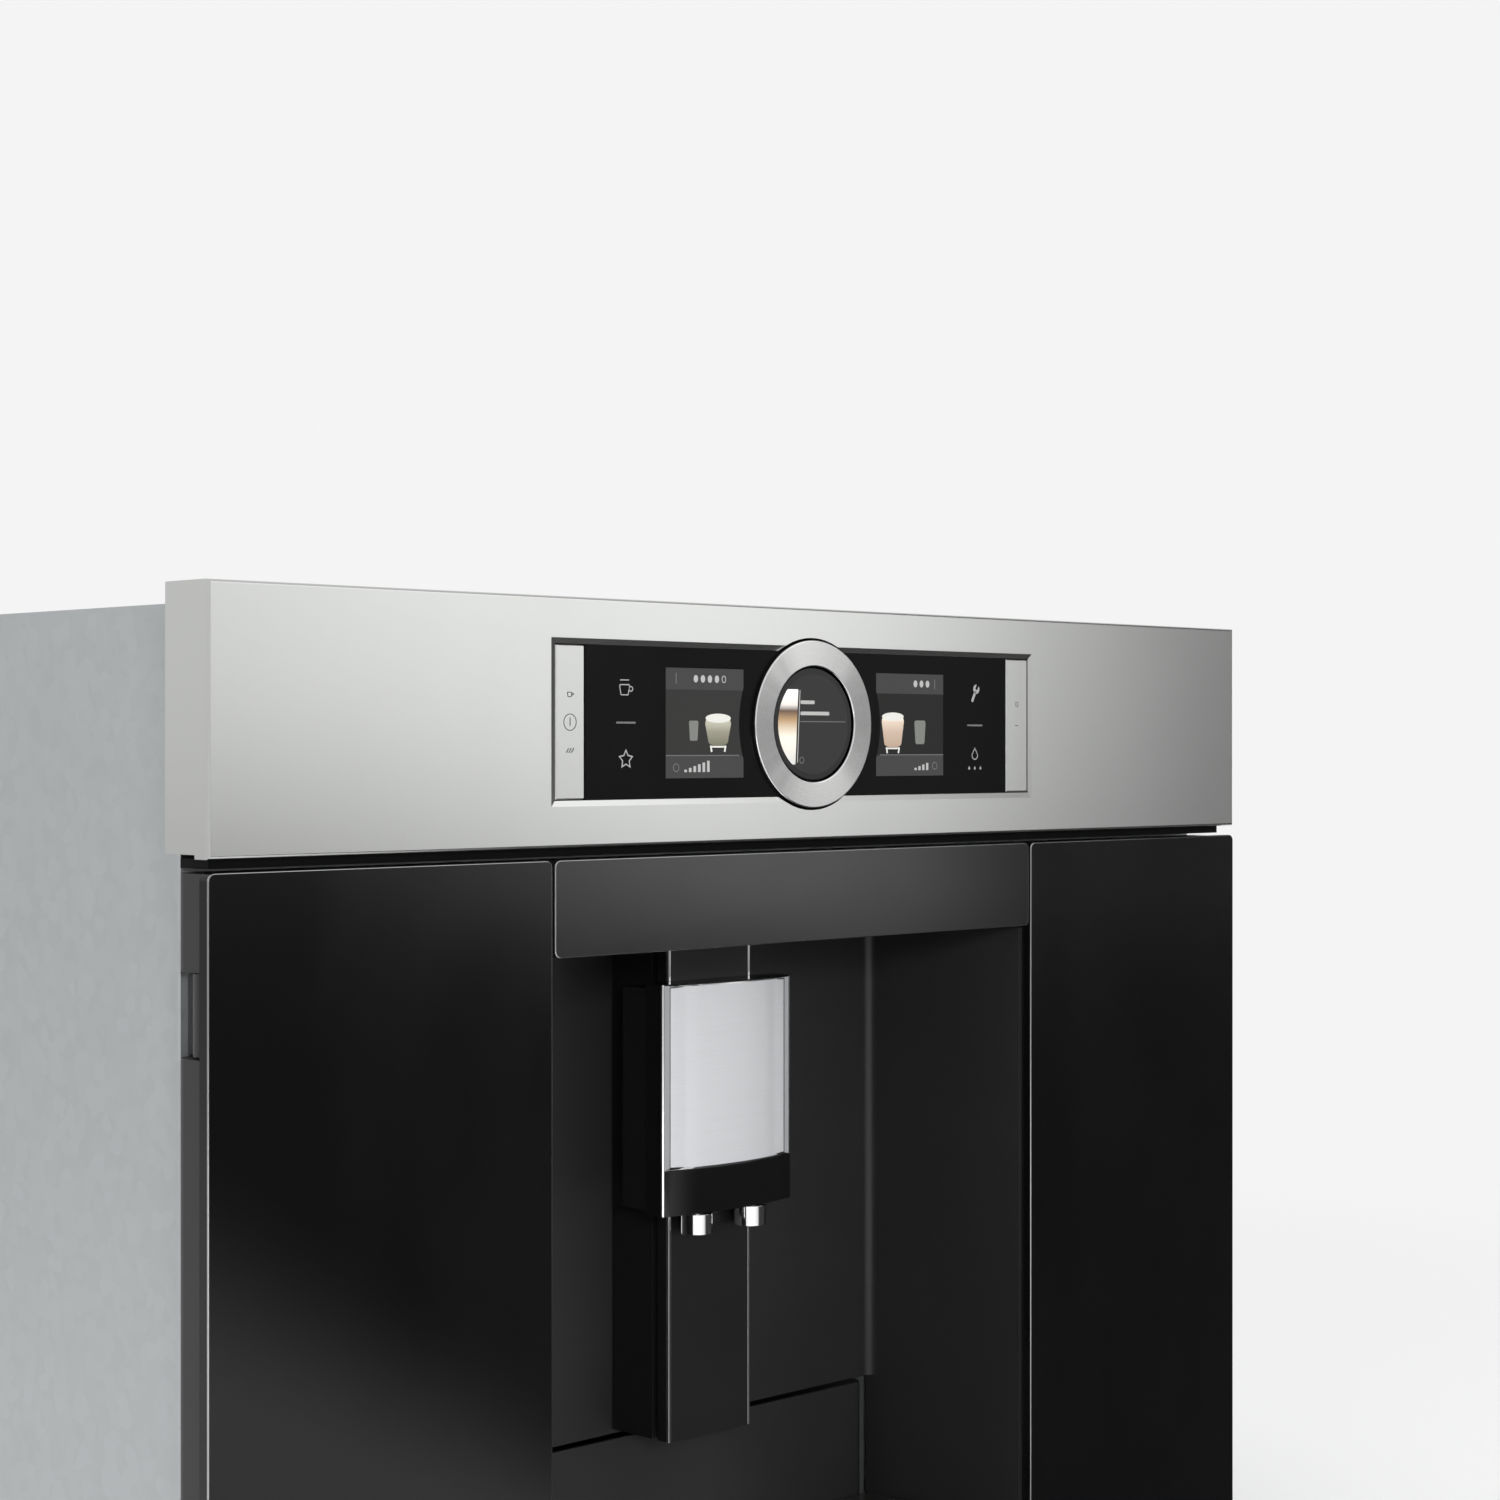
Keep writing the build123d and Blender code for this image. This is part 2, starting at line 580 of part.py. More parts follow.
with BuildPart() as inner_shelves:
    shelf_half = PARTITION - FIT
    block(-shelf_half, shelf_half, LINER_BACK + FIT, INNER_REAR - SHEET - FIT, SHELF_BOTTOM, SHELF_TOP)
    chute_right = CHUTE_WIDTH - PARTITION
    chute_hole = (
        CHUTE_WALL - PARTITION, chute_right - CHUTE_WALL,
        CHUTE_START + CHUTE_WALL, CHUTE_END - CHUTE_WALL,
    )
    block(*chute_hole, SHELF_BOTTOM, SHELF_TOP, mode=Mode.SUBTRACT)
    left_shelf = (-INNER_HALF, -CELL_INNER - FIT, UNIT_START, MOTOR_DEPTH + MOTOR_RADIUS + SHELF_MARGIN)
    block(*left_shelf, GRINDER_SHELF - SHEET, GRINDER_SHELF)
    post(UNIT_X, GROUNDS_DROP_DEPTH, GROUNDS_DROP_RADIUS, GRINDER_SHELF - SHEET, GRINDER_SHELF, Mode.SUBTRACT)
inner_shelves.part.label = "inner_shelves"
export_step(inner_shelves.part, "parts/inner_shelves.step")

# ======== fascia and controls ========

with BuildPart() as fascia_panel:
    with BuildSketch(upright(0)):
        span(-HALF, HALF, FASCIA_BOTTOM, HEIGHT)
    extrude(amount=-BODY_START)
    with BuildSketch(upright(FASCIA_SKIN)):
        span(FASCIA_SKIN - HALF, HALF - FASCIA_SKIN, FASCIA_BOTTOM + FASCIA_SKIN, HEIGHT - FASCIA_SKIN)
    extrude(amount=-BODY_START, mode=Mode.SUBTRACT)
    block(-HALF, HALF, LOWER_RETURN, BODY_START, FASCIA_BOTTOM, FASCIA_BOTTOM + FASCIA_SKIN, Mode.SUBTRACT)
    with BuildSketch(upright(FASCIA_SKIN)):
        rim_half = DISPLAY_HALF + DISPLAY_RIM
        span(-rim_half, rim_half, DISPLAY_BOTTOM - DISPLAY_RIM, DISPLAY_TOP + DISPLAY_RIM)
    extrude(amount=FASCIA_SKIN - DISPLAY_RIM_DEPTH)
    with BuildSketch(upright(0)):
        span(-DISPLAY_HALF, DISPLAY_HALF, DISPLAY_BOTTOM, DISPLAY_TOP)
    extrude(amount=-DISPLAY_RIM_DEPTH, mode=Mode.SUBTRACT)
    front_edges = fascia_panel.edges().filter_by_position(Axis.Y, FRONT_Y, FRONT_Y)
    opening_edges = front_edges.filter_by_position(Axis.X, -DISPLAY_HALF, DISPLAY_HALF)
    opening_edges = opening_edges.filter_by_position(Axis.Z, DISPLAY_BOTTOM, DISPLAY_TOP)
    outer_edges = front_edges - opening_edges
    fillet(outer_edges, FASCIA_EDGE)
    with BuildSketch(upright(0)):
        bevel_half = DISPLAY_HALF + DISPLAY_BEVEL
        span(-bevel_half, bevel_half, DISPLAY_BOTTOM - DISPLAY_BEVEL, DISPLAY_TOP + DISPLAY_BEVEL)
    with BuildSketch(upright(DISPLAY_RECESS)):
        span(-DISPLAY_HALF, DISPLAY_HALF, DISPLAY_BOTTOM, DISPLAY_TOP)
    loft(mode=Mode.SUBTRACT)
    rod(0, DISPLAY_Z, RING_HOLE, 0, DISPLAY_RIM_DEPTH, Mode.SUBTRACT)
fascia_panel.part.label = "fascia_panel"
export_step(fascia_panel.part, "parts/fascia_panel.step")

with BuildPart() as display_carrier:
    carrier_half = HALF - FASCIA_SKIN - CARRIER_MARGIN
    carrier_bottom = FASCIA_BOTTOM + CARRIER_MARGIN
    carrier_top = HEIGHT - FASCIA_SKIN - CARRIER_MARGIN
    lip_bottom = FASCIA_BOTTOM - LIP_DROP
    with BuildSketch(upright(CONTROL_GLASS_BACK)):
        span(-carrier_half, carrier_half, carrier_bottom, carrier_top)
    extrude(amount=-CARRIER_PLATE)
    web = (CARRIER_BACK, CARRIER_BACK + CARRIER_PLATE, lip_bottom, lip_bottom + WEB_HEIGHT)
    block(-carrier_half, carrier_half, *web)
    block(-carrier_half, carrier_half, LIP_START, DOOR_BACK, lip_bottom, FASCIA_BOTTOM - FIT)
    rod(0, DISPLAY_Z, HUB_RADIUS + BEARING_WALL, CONTROL_GLASS_BACK, HUB_END)
    rod(0, DISPLAY_Z, HUB_RADIUS + RUNNING, CONTROL_GLASS_BACK, HUB_END, Mode.SUBTRACT)
    for side in (-1, 1):
        for rise in (-1, 1):
            post_z = DISPLAY_Z + rise * POST_RISE
            rod(side * (DISPLAY_HALF + FRAME_POST_OUT), post_z, FRAME_POST, CARRIER_BACK, DOOR_DEPTH)
            rod(side * (KEY_NEAR - BOARD_POST_IN), post_z, BOARD_POST, CARRIER_BACK, BOARD_DEPTH)
        key_x = side * KEY_X
        pocket_half = (DISPLAY_HALF - CONTROL_GLASS_HALF) / 2 + KEY_GAP
        stem_hole = KEY_STEM + MOVING_GAP
        block(
            key_x - pocket_half, key_x + pocket_half,
            CONTROL_GLASS_BACK, CONTROL_GLASS_BACK + KEY_TRAVEL,
            DISPLAY_BOTTOM - KEY_GAP, DISPLAY_TOP + KEY_GAP,
            mode=Mode.SUBTRACT,
        )
        block(
            key_x - stem_hole, key_x + stem_hole, CONTROL_GLASS_BACK, CARRIER_BACK,
            DISPLAY_Z - stem_hole, DISPLAY_Z + stem_hole,
            mode=Mode.SUBTRACT,
        )
display_carrier.part.label = "display_carrier"
export_step(display_carrier.part, "parts/display_carrier.step")

with BuildPart() as control_glass:
    with BuildSketch(upright(DISPLAY_RECESS)):
        span(-CONTROL_GLASS_HALF, CONTROL_GLASS_HALF, DISPLAY_BOTTOM + FIT, DISPLAY_TOP - FIT)
        screen_middle = (SCREEN_NEAR + SCREEN_FAR) / 2
        with Locations((-screen_middle, DISPLAY_Z), (screen_middle, DISPLAY_Z)):
            Rectangle(SCREEN_FAR - SCREEN_NEAR, SCREEN_HEIGHT, mode=Mode.SUBTRACT)
        with Locations((0, DISPLAY_Z)):
            Circle(HUB_RADIUS + MOVING_GAP, mode=Mode.SUBTRACT)
    extrude(amount=-CONTROL_GLASS_THICKNESS)
control_glass.part.label = "control_glass"
export_step(control_glass.part, "parts/control_glass.step")

with BuildPart() as left_screen:
    with BuildSketch(upright(DISPLAY_RECESS)):
        with Locations((-screen_middle, DISPLAY_Z)):
            Rectangle(SCREEN_FAR - SCREEN_NEAR - 2 * FIT, SCREEN_HEIGHT - 2 * FIT)
    extrude(amount=-SCREEN_THICKNESS)
left_screen.part.label = "left_screen"
export_step(left_screen.part, "parts/left_screen.step")

with BuildPart() as right_screen:
    mirror(left_screen.part, about=Plane.YZ)
right_screen.part.label = "right_screen"
export_step(right_screen.part, "parts/right_screen.step")

with BuildPart() as centre_display:
    lens_front = LENS_RECESS - RING_PROUD
    lens_back = lens_front + LENS_THICKNESS
    rod(0, DISPLAY_Z, RING_BORE - MOVING_GAP, lens_front, lens_back)
    rod(0, DISPLAY_Z, LENS_STEM, lens_back, BOARD_DEPTH - FIT)
centre_display.part.label = "centre_display"
export_step(centre_display.part, "parts/centre_display.step")

with BuildPart() as display_board:
    board_half = DISPLAY_HALF - CARRIER_MARGIN
    with BuildSketch(upright(BOARD_DEPTH)):
        span(-board_half, board_half, DISPLAY_BOTTOM, DISPLAY_TOP)
    extrude(amount=-BOARD_THICKNESS)
    switch_front = KEY_STEM_END + KEY_TRAVEL + SWITCH_GAP
    for key_x in (-KEY_X, KEY_X):
        switch = (key_x - KEY_STEM, key_x + KEY_STEM, switch_front, BOARD_DEPTH - FIT)
        block(*switch, DISPLAY_Z - KEY_STEM, DISPLAY_Z + KEY_STEM)
display_board.part.label = "display_board"
export_step(display_board.part, "parts/display_board.step")

with BuildPart() as control_ring:
    with BuildSketch(level(DISPLAY_Z)):
        with BuildLine():
            hub_end = behind(HUB_END)
            Polyline(
                (RING_BORE, behind(RING_CHAMFER / 2 - RING_PROUD)),
                (RING_BORE + RING_CHAMFER, behind(-RING_PROUD)),
                (RING_RADIUS - RING_CHAMFER, behind(-RING_PROUD)),
                (RING_RADIUS, behind(RING_CHAMFER - RING_PROUD)),
                (RING_RADIUS, behind(RING_BACK)),
                (HUB_RADIUS, behind(RING_BACK)),
                (HUB_RADIUS, hub_end),
                (HUB_RADIUS - HUB_WALL, hub_end),
                (HUB_RADIUS - HUB_WALL, behind(RING_BACK)),
                (RING_BORE, behind(RING_BACK)),
                close=True,
            )
        make_face()
    revolve(axis=Axis((0, 0, DISPLAY_Z), (0, 1, 0)))
control_ring.part.label = "control_ring"
export_step(control_ring.part, "parts/control_ring.step")

with BuildPart() as right_key:
    with BuildSketch(upright(DISPLAY_RECESS)):
        span(KEY_NEAR, KEY_FAR, DISPLAY_Z - KEY_HALF_HEIGHT, DISPLAY_Z + KEY_HALF_HEIGHT)
    extrude(amount=-KEY_THICKNESS)
    chamfer(right_key.faces().sort_by(Axis.Y)[0].edges(), KEY_EDGE)
    stem = (KEY_X - KEY_STEM, KEY_X + KEY_STEM, KEY_BACK, KEY_STEM_END)
    block(*stem, DISPLAY_Z - KEY_STEM, DISPLAY_Z + KEY_STEM)
right_key.part.label = "right_key"
export_step(right_key.part, "parts/right_key.step")

with BuildPart() as left_key:
    mirror(right_key.part, about=Plane.YZ)
left_key.part.label = "left_key"
export_step(left_key.part, "parts/left_key.step")

# ======== door ========

with BuildPart() as left_door_glass:
    with BuildSketch(upright(0)) as left_glass_outline:
        span(-HALF, -GLASS_INNER, DOOR_BOTTOM, DOOR_TOP)
        fillet(left_glass_outline.vertices(), GLASS_CORNER)
    extrude(amount=-GLASS_THICKNESS)
    chamfer(left_door_glass.faces().sort_by(Axis.Y)[0].edges(), GLASS_EDGE)
left_door_glass.part.label = "left_door_glass"
export_step(left_door_glass.part, "parts/left_door_glass.step")

with BuildPart() as right_door_glass:
    mirror(left_door_glass.part, about=Plane.YZ)
right_door_glass.part.label = "right_door_glass"
export_step(right_door_glass.part, "parts/right_door_glass.step")

with BuildPart() as header_glass:
    header_half = GLASS_INNER - GLASS_JOINT
    with BuildSketch(upright(0)):
        span(-header_half, header_half, HEADER_BOTTOM, DOOR_TOP)
    extrude(amount=-GLASS_THICKNESS)
    chamfer(header_glass.faces().sort_by(Axis.Y)[0].edges(), GLASS_EDGE)
header_glass.part.label = "header_glass"
export_step(header_glass.part, "parts/header_glass.step")

with BuildPart() as door_frame:
    with BuildSketch(upright(GLASS_THICKNESS)):
        span(-FRAME_OUTER, FRAME_OUTER, FRAME_BOTTOM, FRAME_TOP)
        span(-LEG_INNER, LEG_INNER, FRAME_BOTTOM, HEADER_FRAME_BOTTOM, mode=Mode.SUBTRACT)
    extrude(amount=GLASS_THICKNESS - COVER_FRONT)
    hinge_edge = door_frame.edges().filter_by(Axis.Z).group_by(Axis.X)[0].sort_by(Axis.Y)[-1]
    fillet(hinge_edge, STILE_ROUND)
    with BuildSketch(upright(GLASS_THICKNESS + DOOR_WALL)):
        pocket_low = FRAME_BOTTOM + DOOR_WALL
        pocket_high = FRAME_TOP - DOOR_WALL
        pocket_inner = LEG_INNER + DOOR_WALL
        span(STILE_WIDTH - FRAME_OUTER, -pocket_inner, pocket_low, pocket_high)
        span(pocket_inner, FRAME_OUTER - DOOR_WALL, pocket_low, pocket_high)
        span(DOOR_WALL - LEG_INNER, LEG_INNER - DOOR_WALL, HEADER_FRAME_BOTTOM + DOOR_WALL, pocket_high)
    extrude(amount=GLASS_THICKNESS + DOOR_WALL - COVER_FRONT, mode=Mode.SUBTRACT)
    for notch in HINGE_BOTTOMS:
        notch_top = notch + HINGE_NOTCH
        block(-HALF, NOTCH_WIDTH - FRAME_OUTER, GLASS_THICKNESS, COVER_FRONT, notch, notch_top, Mode.SUBTRACT)
        pin_bore = (notch - PIN_GRIP, notch_top + PIN_GRIP)
        post(HINGE_X, HINGE_DEPTH, PIN_RADIUS + RUNNING, *pin_bore, mode=Mode.SUBTRACT)
door_frame.part.label = "door_frame"
export_step(door_frame.part, "parts/door_frame.step")

with BuildPart() as door_back_cover:
    with BuildSketch(upright(COVER_FRONT)):
        span(HINGE_X, FRAME_OUTER, FRAME_BOTTOM, FRAME_TOP)
        span(-LEG_INNER, LEG_INNER, FRAME_BOTTOM, HEADER_FRAME_BOTTOM, mode=Mode.SUBTRACT)
        for notch in HINGE_BOTTOMS:
            span(HINGE_X, NOTCH_WIDTH - FRAME_OUTER, notch, notch + HINGE_NOTCH, mode=Mode.SUBTRACT)
    extrude(amount=-BACK_COVER)
door_back_cover.part.label = "door_back_cover"
export_step(door_back_cover.part, "parts/door_back_cover.step")

with BuildPart() as catch_magnets:
    magnet_outer = FRAME_OUTER - DOOR_WALL - FIT
    for magnet in MAGNET_BOTTOMS:
        place = (magnet_outer - MAGNET_WIDTH, magnet_outer, MAGNET_START, COVER_FRONT - FIT)
        block(*place, magnet, magnet + MAGNET_HEIGHT)
catch_magnets.part.label = "catch_magnets"
export_step(catch_magnets.part, "parts/catch_magnets.step")

with BuildPart() as hinge_brackets:
    for notch in HINGE_BOTTOMS:
        arm_bottom = notch + MOVING_GAP
        arm_top = notch + HINGE_NOTCH - MOVING_GAP
        post(HINGE_X, HINGE_DEPTH, KNUCKLE_RADIUS, arm_bottom, arm_top)
        block(HINGE_X, HINGE_X + ARM_WIDTH, HINGE_DEPTH, DOOR_DEPTH, arm_bottom, arm_top)
        post(HINGE_X, HINGE_DEPTH, PIN_RADIUS + RUNNING, arm_bottom, arm_top, Mode.SUBTRACT)
        pin_bottom = notch - PIN_GRIP + MOVING_GAP
        pin_top = notch + HINGE_NOTCH + PIN_GRIP - MOVING_GAP
        post(HINGE_X, HINGE_DEPTH, PIN_RADIUS, pin_bottom, pin_top)
hinge_brackets.part.label = "hinge_brackets"
export_step(hinge_brackets.part, "parts/hinge_brackets.step")

# ======== dispensing bay ========

with BuildPart() as bay_liner:
    with BuildSketch(level(PAN_TOP + FIT)):
        span(-LINER_HALF, LINER_HALF, behind(LINER_START), behind(LINER_BACK))
    extrude(amount=LINER_TOP - PAN_TOP - FIT)
    with BuildSketch(level(PAN_TOP + FIT)) as bay_space:
        span(-BAY_HALF, BAY_HALF, behind(0), behind(BAY_DEPTH))
        fillet(bay_space.vertices().group_by(Axis.Y)[-1], BAY_CORNER)
    extrude(amount=BAY_TOP - PAN_TOP - FIT, mode=Mode.SUBTRACT)
    block(-BAY_HALF, BAY_HALF, COLUMN_FRONT, LINER_BACK, 0, LINER_BACK_BOTTOM, mode=Mode.SUBTRACT)
    shoulder = (0, BODY_START - HEADER_CLEARANCE, LINER_SHOULDER, LINER_TOP)
    block(-LINER_HALF, LINER_HALF, *shoulder, mode=Mode.SUBTRACT)
bay_liner.part.label = "bay_liner"
export_step(bay_liner.part, "parts/bay_liner.step")

with BuildPart() as outlet_column:
    column_top = BAY_TOP - FIT
    column_back = BAY_DEPTH - FIT
    groove_end = GROOVE_START + GROOVE_WIDTH
    block(-COLUMN_HALF, COLUMN_HALF, COLUMN_FRONT, column_back, COLUMN_BOTTOM, column_top)
    hollow_half = COLUMN_HALF - GROOVE_DEPTH - COLUMN_WALL
    hollow = (COLUMN_FRONT + COLUMN_WALL, column_back, COLUMN_BOTTOM + COLUMN_WALL, column_top - COLUMN_WALL)
    block(-hollow_half, hollow_half, *hollow, mode=Mode.SUBTRACT)
    for side in (-1, 1):
        trim_x = side * (COLUMN_HALF - TRIM_SIZE / 2)
        trim = (trim_x - TRIM_SIZE / 2, trim_x + TRIM_SIZE / 2, COLUMN_FRONT, COLUMN_FRONT + TRIM_SIZE)
        block(*trim, COLUMN_BOTTOM, column_top, mode=Mode.SUBTRACT)
        groove_x = side * (COLUMN_HALF - GROOVE_DEPTH / 2)
        groove = (groove_x - GROOVE_DEPTH / 2, groove_x + GROOVE_DEPTH / 2, GROOVE_START, groove_end)
        block(*groove, COLUMN_BOTTOM, column_top, mode=Mode.SUBTRACT)
outlet_column.part.label = "outlet_column"
export_step(outlet_column.part, "parts/outlet_column.step")

with BuildPart() as column_trims:
    for x0 in (-COLUMN_HALF, COLUMN_HALF - TRIM_SIZE):
        block(x0, x0 + TRIM_SIZE, COLUMN_FRONT, COLUMN_FRONT + TRIM_SIZE, COLUMN_BOTTOM, column_top)
column_trims.part.label = "column_trims"
export_step(column_trims.part, "parts/column_trims.step")

# ======== outlet ========

with BuildPart() as outlet_carriage:
    carriage_top = OUTLET_TOP - OUTLET_WALL
    cheek_front = OUTLET_BACK + SEAT_GAP
    cheek_inner = COLUMN_HALF + MOVING_GAP
    rest_bottom = OUTLET_BOTTOM + CARRIAGE_RISE
    rest_top = carriage_top - OUTLET_WALL
    block(-CARRIAGE_INSIDE, CARRIAGE_INSIDE, CARRIAGE_PLATE_FRONT, cheek_front, rest_bottom, rest_top)
    for side in (-1, 1):
        x0, x1 = sorted((side * cheek_inner, side * CARRIAGE_CHEEK))
        block(x0, x1, cheek_front, CARRIAGE_BACK, OUTLET_BOTTOM + OUTLET_WALL, carriage_top)
        rib_tip = COLUMN_HALF - GROOVE_DEPTH + MOVING_GAP
        x0, x1 = sorted((side * rib_tip, side * cheek_inner))
        rib_depths = (GROOVE_START + MOVING_GAP, groove_end - MOVING_GAP)
        block(x0, x1, *rib_depths, OUTLET_BOTTOM + OUTLET_WALL, carriage_top)
    column_way = (-cheek_inner, cheek_inner, COLUMN_FRONT - MOVING_GAP, cheek_front)
    block(*column_way, rest_bottom, rest_top, mode=Mode.SUBTRACT)
outlet_carriage.part.label = "outlet_carriage"
export_step(outlet_carriage.part, "parts/outlet_carriage.step")

frother_bottom = OUTLET_BOTTOM + FROTHER_RISE

with BuildPart() as milk_frother:
    frother_back = CARRIAGE_PLATE_FRONT - FIT
    frother_top = frother_bottom + FROTHER_HEIGHT
    block(-FROTHER_HALF, FROTHER_HALF, FROTHER_FRONT, frother_back, frother_bottom, frother_top)
    chamfer(milk_frother.faces().sort_by(Axis.Y)[0].edges().filter_by(Axis.Z), FROTHER_EDGE)
milk_frother.part.label = "milk_frother"
export_step(milk_frother.part, "parts/milk_frother.step")

with BuildPart() as outlet_nozzles:
    nozzle_bottom = OUTLET_BOTTOM - NOZZLE_DROP
    for nozzle_x in (-NOZZLE_X, NOZZLE_X):
        post(nozzle_x, NOZZLE_DEPTH, NOZZLE_RADIUS, nozzle_bottom, nozzle_bottom + NOZZLE_LENGTH)
        post(nozzle_x, NOZZLE_DEPTH, NOZZLE_NECK, nozzle_bottom + NOZZLE_LENGTH, frother_bottom - FIT)
        post(nozzle_x, NOZZLE_DEPTH, NOZZLE_BORE, nozzle_bottom, frother_bottom, Mode.SUBTRACT)
outlet_nozzles.part.label = "outlet_nozzles"
export_step(outlet_nozzles.part, "parts/outlet_nozzles.step")

plate_top = OUTLET_TOP - PLATE_DROP
plate_bottom = plate_top - PLATE_HEIGHT

with BuildPart() as outlet_cover:
    with BuildSketch(level(OUTLET_BOTTOM)):
        with BuildLine():
            crowned(OUTLET_HALF, OUTLET_SIDE, OUTLET_CROWN, OUTLET_BACK)
        make_face()
    extrude(amount=OUTLET_HEIGHT)
    with BuildSketch(level(OUTLET_BOTTOM)):
        with BuildLine():
            inner_crown = OUTLET_CROWN + PLATE_THICKNESS + OUTLET_WALL
            inner_side = OUTLET_SIDE + PLATE_THICKNESS + OUTLET_WALL
            crowned(OUTLET_HALF - OUTLET_WALL, inner_side, inner_crown, OUTLET_BACK)
        make_face()
    extrude(amount=OUTLET_HEIGHT - OUTLET_WALL, mode=Mode.SUBTRACT)
    with BuildSketch(level(plate_bottom - FIT)):
        with BuildLine():
            recess_half = PLATE_HALF + FIT
            recess_side = OUTLET_SIDE + PLATE_THICKNESS
            recess_crown = OUTLET_CROWN + PLATE_THICKNESS
            recess_left = (-recess_half, behind(recess_side))
            recess_right = (recess_half, behind(recess_side))
            open_left = (-recess_half, behind(OUTLET_CROWN))
            open_right = (recess_half, behind(OUTLET_CROWN))
            Polyline(recess_left, open_left, open_right, recess_right)
            ThreePointArc(recess_left, (0, behind(recess_crown)), recess_right)
        make_face()
    extrude(amount=PLATE_HEIGHT + 2 * FIT, mode=Mode.SUBTRACT)
outlet_cover.part.label = "outlet_cover"
export_step(outlet_cover.part, "parts/outlet_cover.step")

with BuildPart() as outlet_plate:
    with BuildSketch(level(plate_bottom)):
        with BuildLine():
            plate_back_side = OUTLET_SIDE + PLATE_THICKNESS - FIT
            plate_back_crown = OUTLET_CROWN + PLATE_THICKNESS - FIT
            front_left = (-PLATE_HALF, behind(OUTLET_SIDE))
            front_right = (PLATE_HALF, behind(OUTLET_SIDE))
            back_left = (-PLATE_HALF, behind(plate_back_side))
            back_right = (PLATE_HALF, behind(plate_back_side))
            Line(front_left, back_left)
            ThreePointArc(back_left, (0, behind(plate_back_crown)), back_right)
            Line(back_right, front_right)
            ThreePointArc(front_right, (0, behind(OUTLET_CROWN)), front_left)
        make_face()
    extrude(amount=PLATE_HEIGHT)
outlet_plate.part.label = "outlet_plate"
export_step(outlet_plate.part, "parts/outlet_plate.step")

# ======== drip tray ========

with BuildPart() as drip_tray:
    basin_half = TRAY_HALF - BASIN_WALL
    tray_floor = TRAY_BOTTOM + BASIN_WALL
    block(-TRAY_HALF, TRAY_HALF, TRAY_START, TRAY_END, TRAY_BOTTOM, TRAY_TOP)
    basin = (-basin_half, basin_half, TRAY_START + BASIN_WALL, BASIN_END)
    block(*basin, tray_floor, TRAY_TOP, mode=Mode.SUBTRACT)
    container_place = (-basin_half, basin_half, DIVIDER_END, TRAY_END - BASIN_WALL)
    block(*container_place, tray_floor, TRAY_TOP, mode=Mode.SUBTRACT)
drip_tray.part.label = "drip_tray"
export_step(drip_tray.part, "parts/drip_tray.step")

with BuildPart() as tray_front:
    front_half = BAY_HALF - TRAY_FRONT_GAP
    with BuildSketch(upright(TRAY_FRONT_FACE)):
        span(-front_half, front_half, DOOR_BOTTOM, TRAY_FRONT_TOP)
    extrude(amount=TRAY_FRONT_FACE - TRAY_START)
    chamfer(tray_front.faces().sort_by(Axis.Y)[0].edges(), GLASS_EDGE)
tray_front.part.label = "tray_front"
export_step(tray_front.part, "parts/tray_front.step")

with BuildPart() as grounds_container:
    container_front = DIVIDER_END + SEAT_GAP
    container_back = TRAY_END - BASIN_WALL - SEAT_GAP
    container_bottom = tray_floor + SEAT_GAP
    with BuildSketch(level(container_bottom)) as container_outline:
        span(-CONTAINER_HALF, CONTAINER_HALF, behind(container_front), behind(container_back))
        fillet(container_outline.vertices(), CONTAINER_CORNER)
    extrude(amount=CONTAINER_TOP - container_bottom)
    with BuildSketch(level(container_bottom + WALL)):
        offset(container_outline.sketch, amount=-WALL)
    extrude(amount=CONTAINER_TOP - container_bottom, mode=Mode.SUBTRACT)
grounds_container.part.label = "grounds_container"
export_step(grounds_container.part, "parts/grounds_container.step")

with BuildPart() as drip_grate:
    grate_front = TRAY_START + GRATE_MARGIN
    grate_back = DIVIDER_END - GRATE_MARGIN
    grate_half = TRAY_HALF - GRATE_MARGIN
    slot_length = grate_back - grate_front - 2 * GRATE_BORDER
    with BuildSketch(level(TRAY_TOP + SEAT_GAP)):
        span(-grate_half, grate_half, behind(grate_front), behind(grate_back))
        with Locations((0, behind((grate_front + grate_back) / 2))):
            with GridLocations(GRATE_PITCH, 0, GRATE_SLOTS, 1):
                SlotOverall(slot_length, GRATE_SLOT, rotation=90, mode=Mode.SUBTRACT)
        with Locations((FLOAT_X, behind(FLOAT_DEPTH))):
            Circle(FLOAT_STEM + MOVING_GAP, mode=Mode.SUBTRACT)
        with Locations((-FLOAT_X, behind(FLOAT_DEPTH))):
            Circle(THUMB_HOLE, mode=Mode.SUBTRACT)
    extrude(amount=GRATE_THICKNESS)
drip_grate.part.label = "drip_grate"
export_step(drip_grate.part, "parts/drip_grate.step")

with BuildPart() as level_float:
    float_bottom = tray_floor + SEAT_GAP
    float_tip = TRAY_TOP + SEAT_GAP + GRATE_THICKNESS + FLOAT_PROUD
    post(FLOAT_X, FLOAT_DEPTH, FLOAT_RADIUS, float_bottom, float_bottom + FLOAT_DISC)
    post(FLOAT_X, FLOAT_DEPTH, FLOAT_STEM, float_bottom + FLOAT_DISC, float_tip)
    fillet(level_float.edges().filter_by(GeomType.CIRCLE).sort_by(Axis.Z)[-1], FLOAT_ROUND)
level_float.part.label = "level_float"
export_step(level_float.part, "parts/level_float.step")

# ======== bean hopper and grinder ========

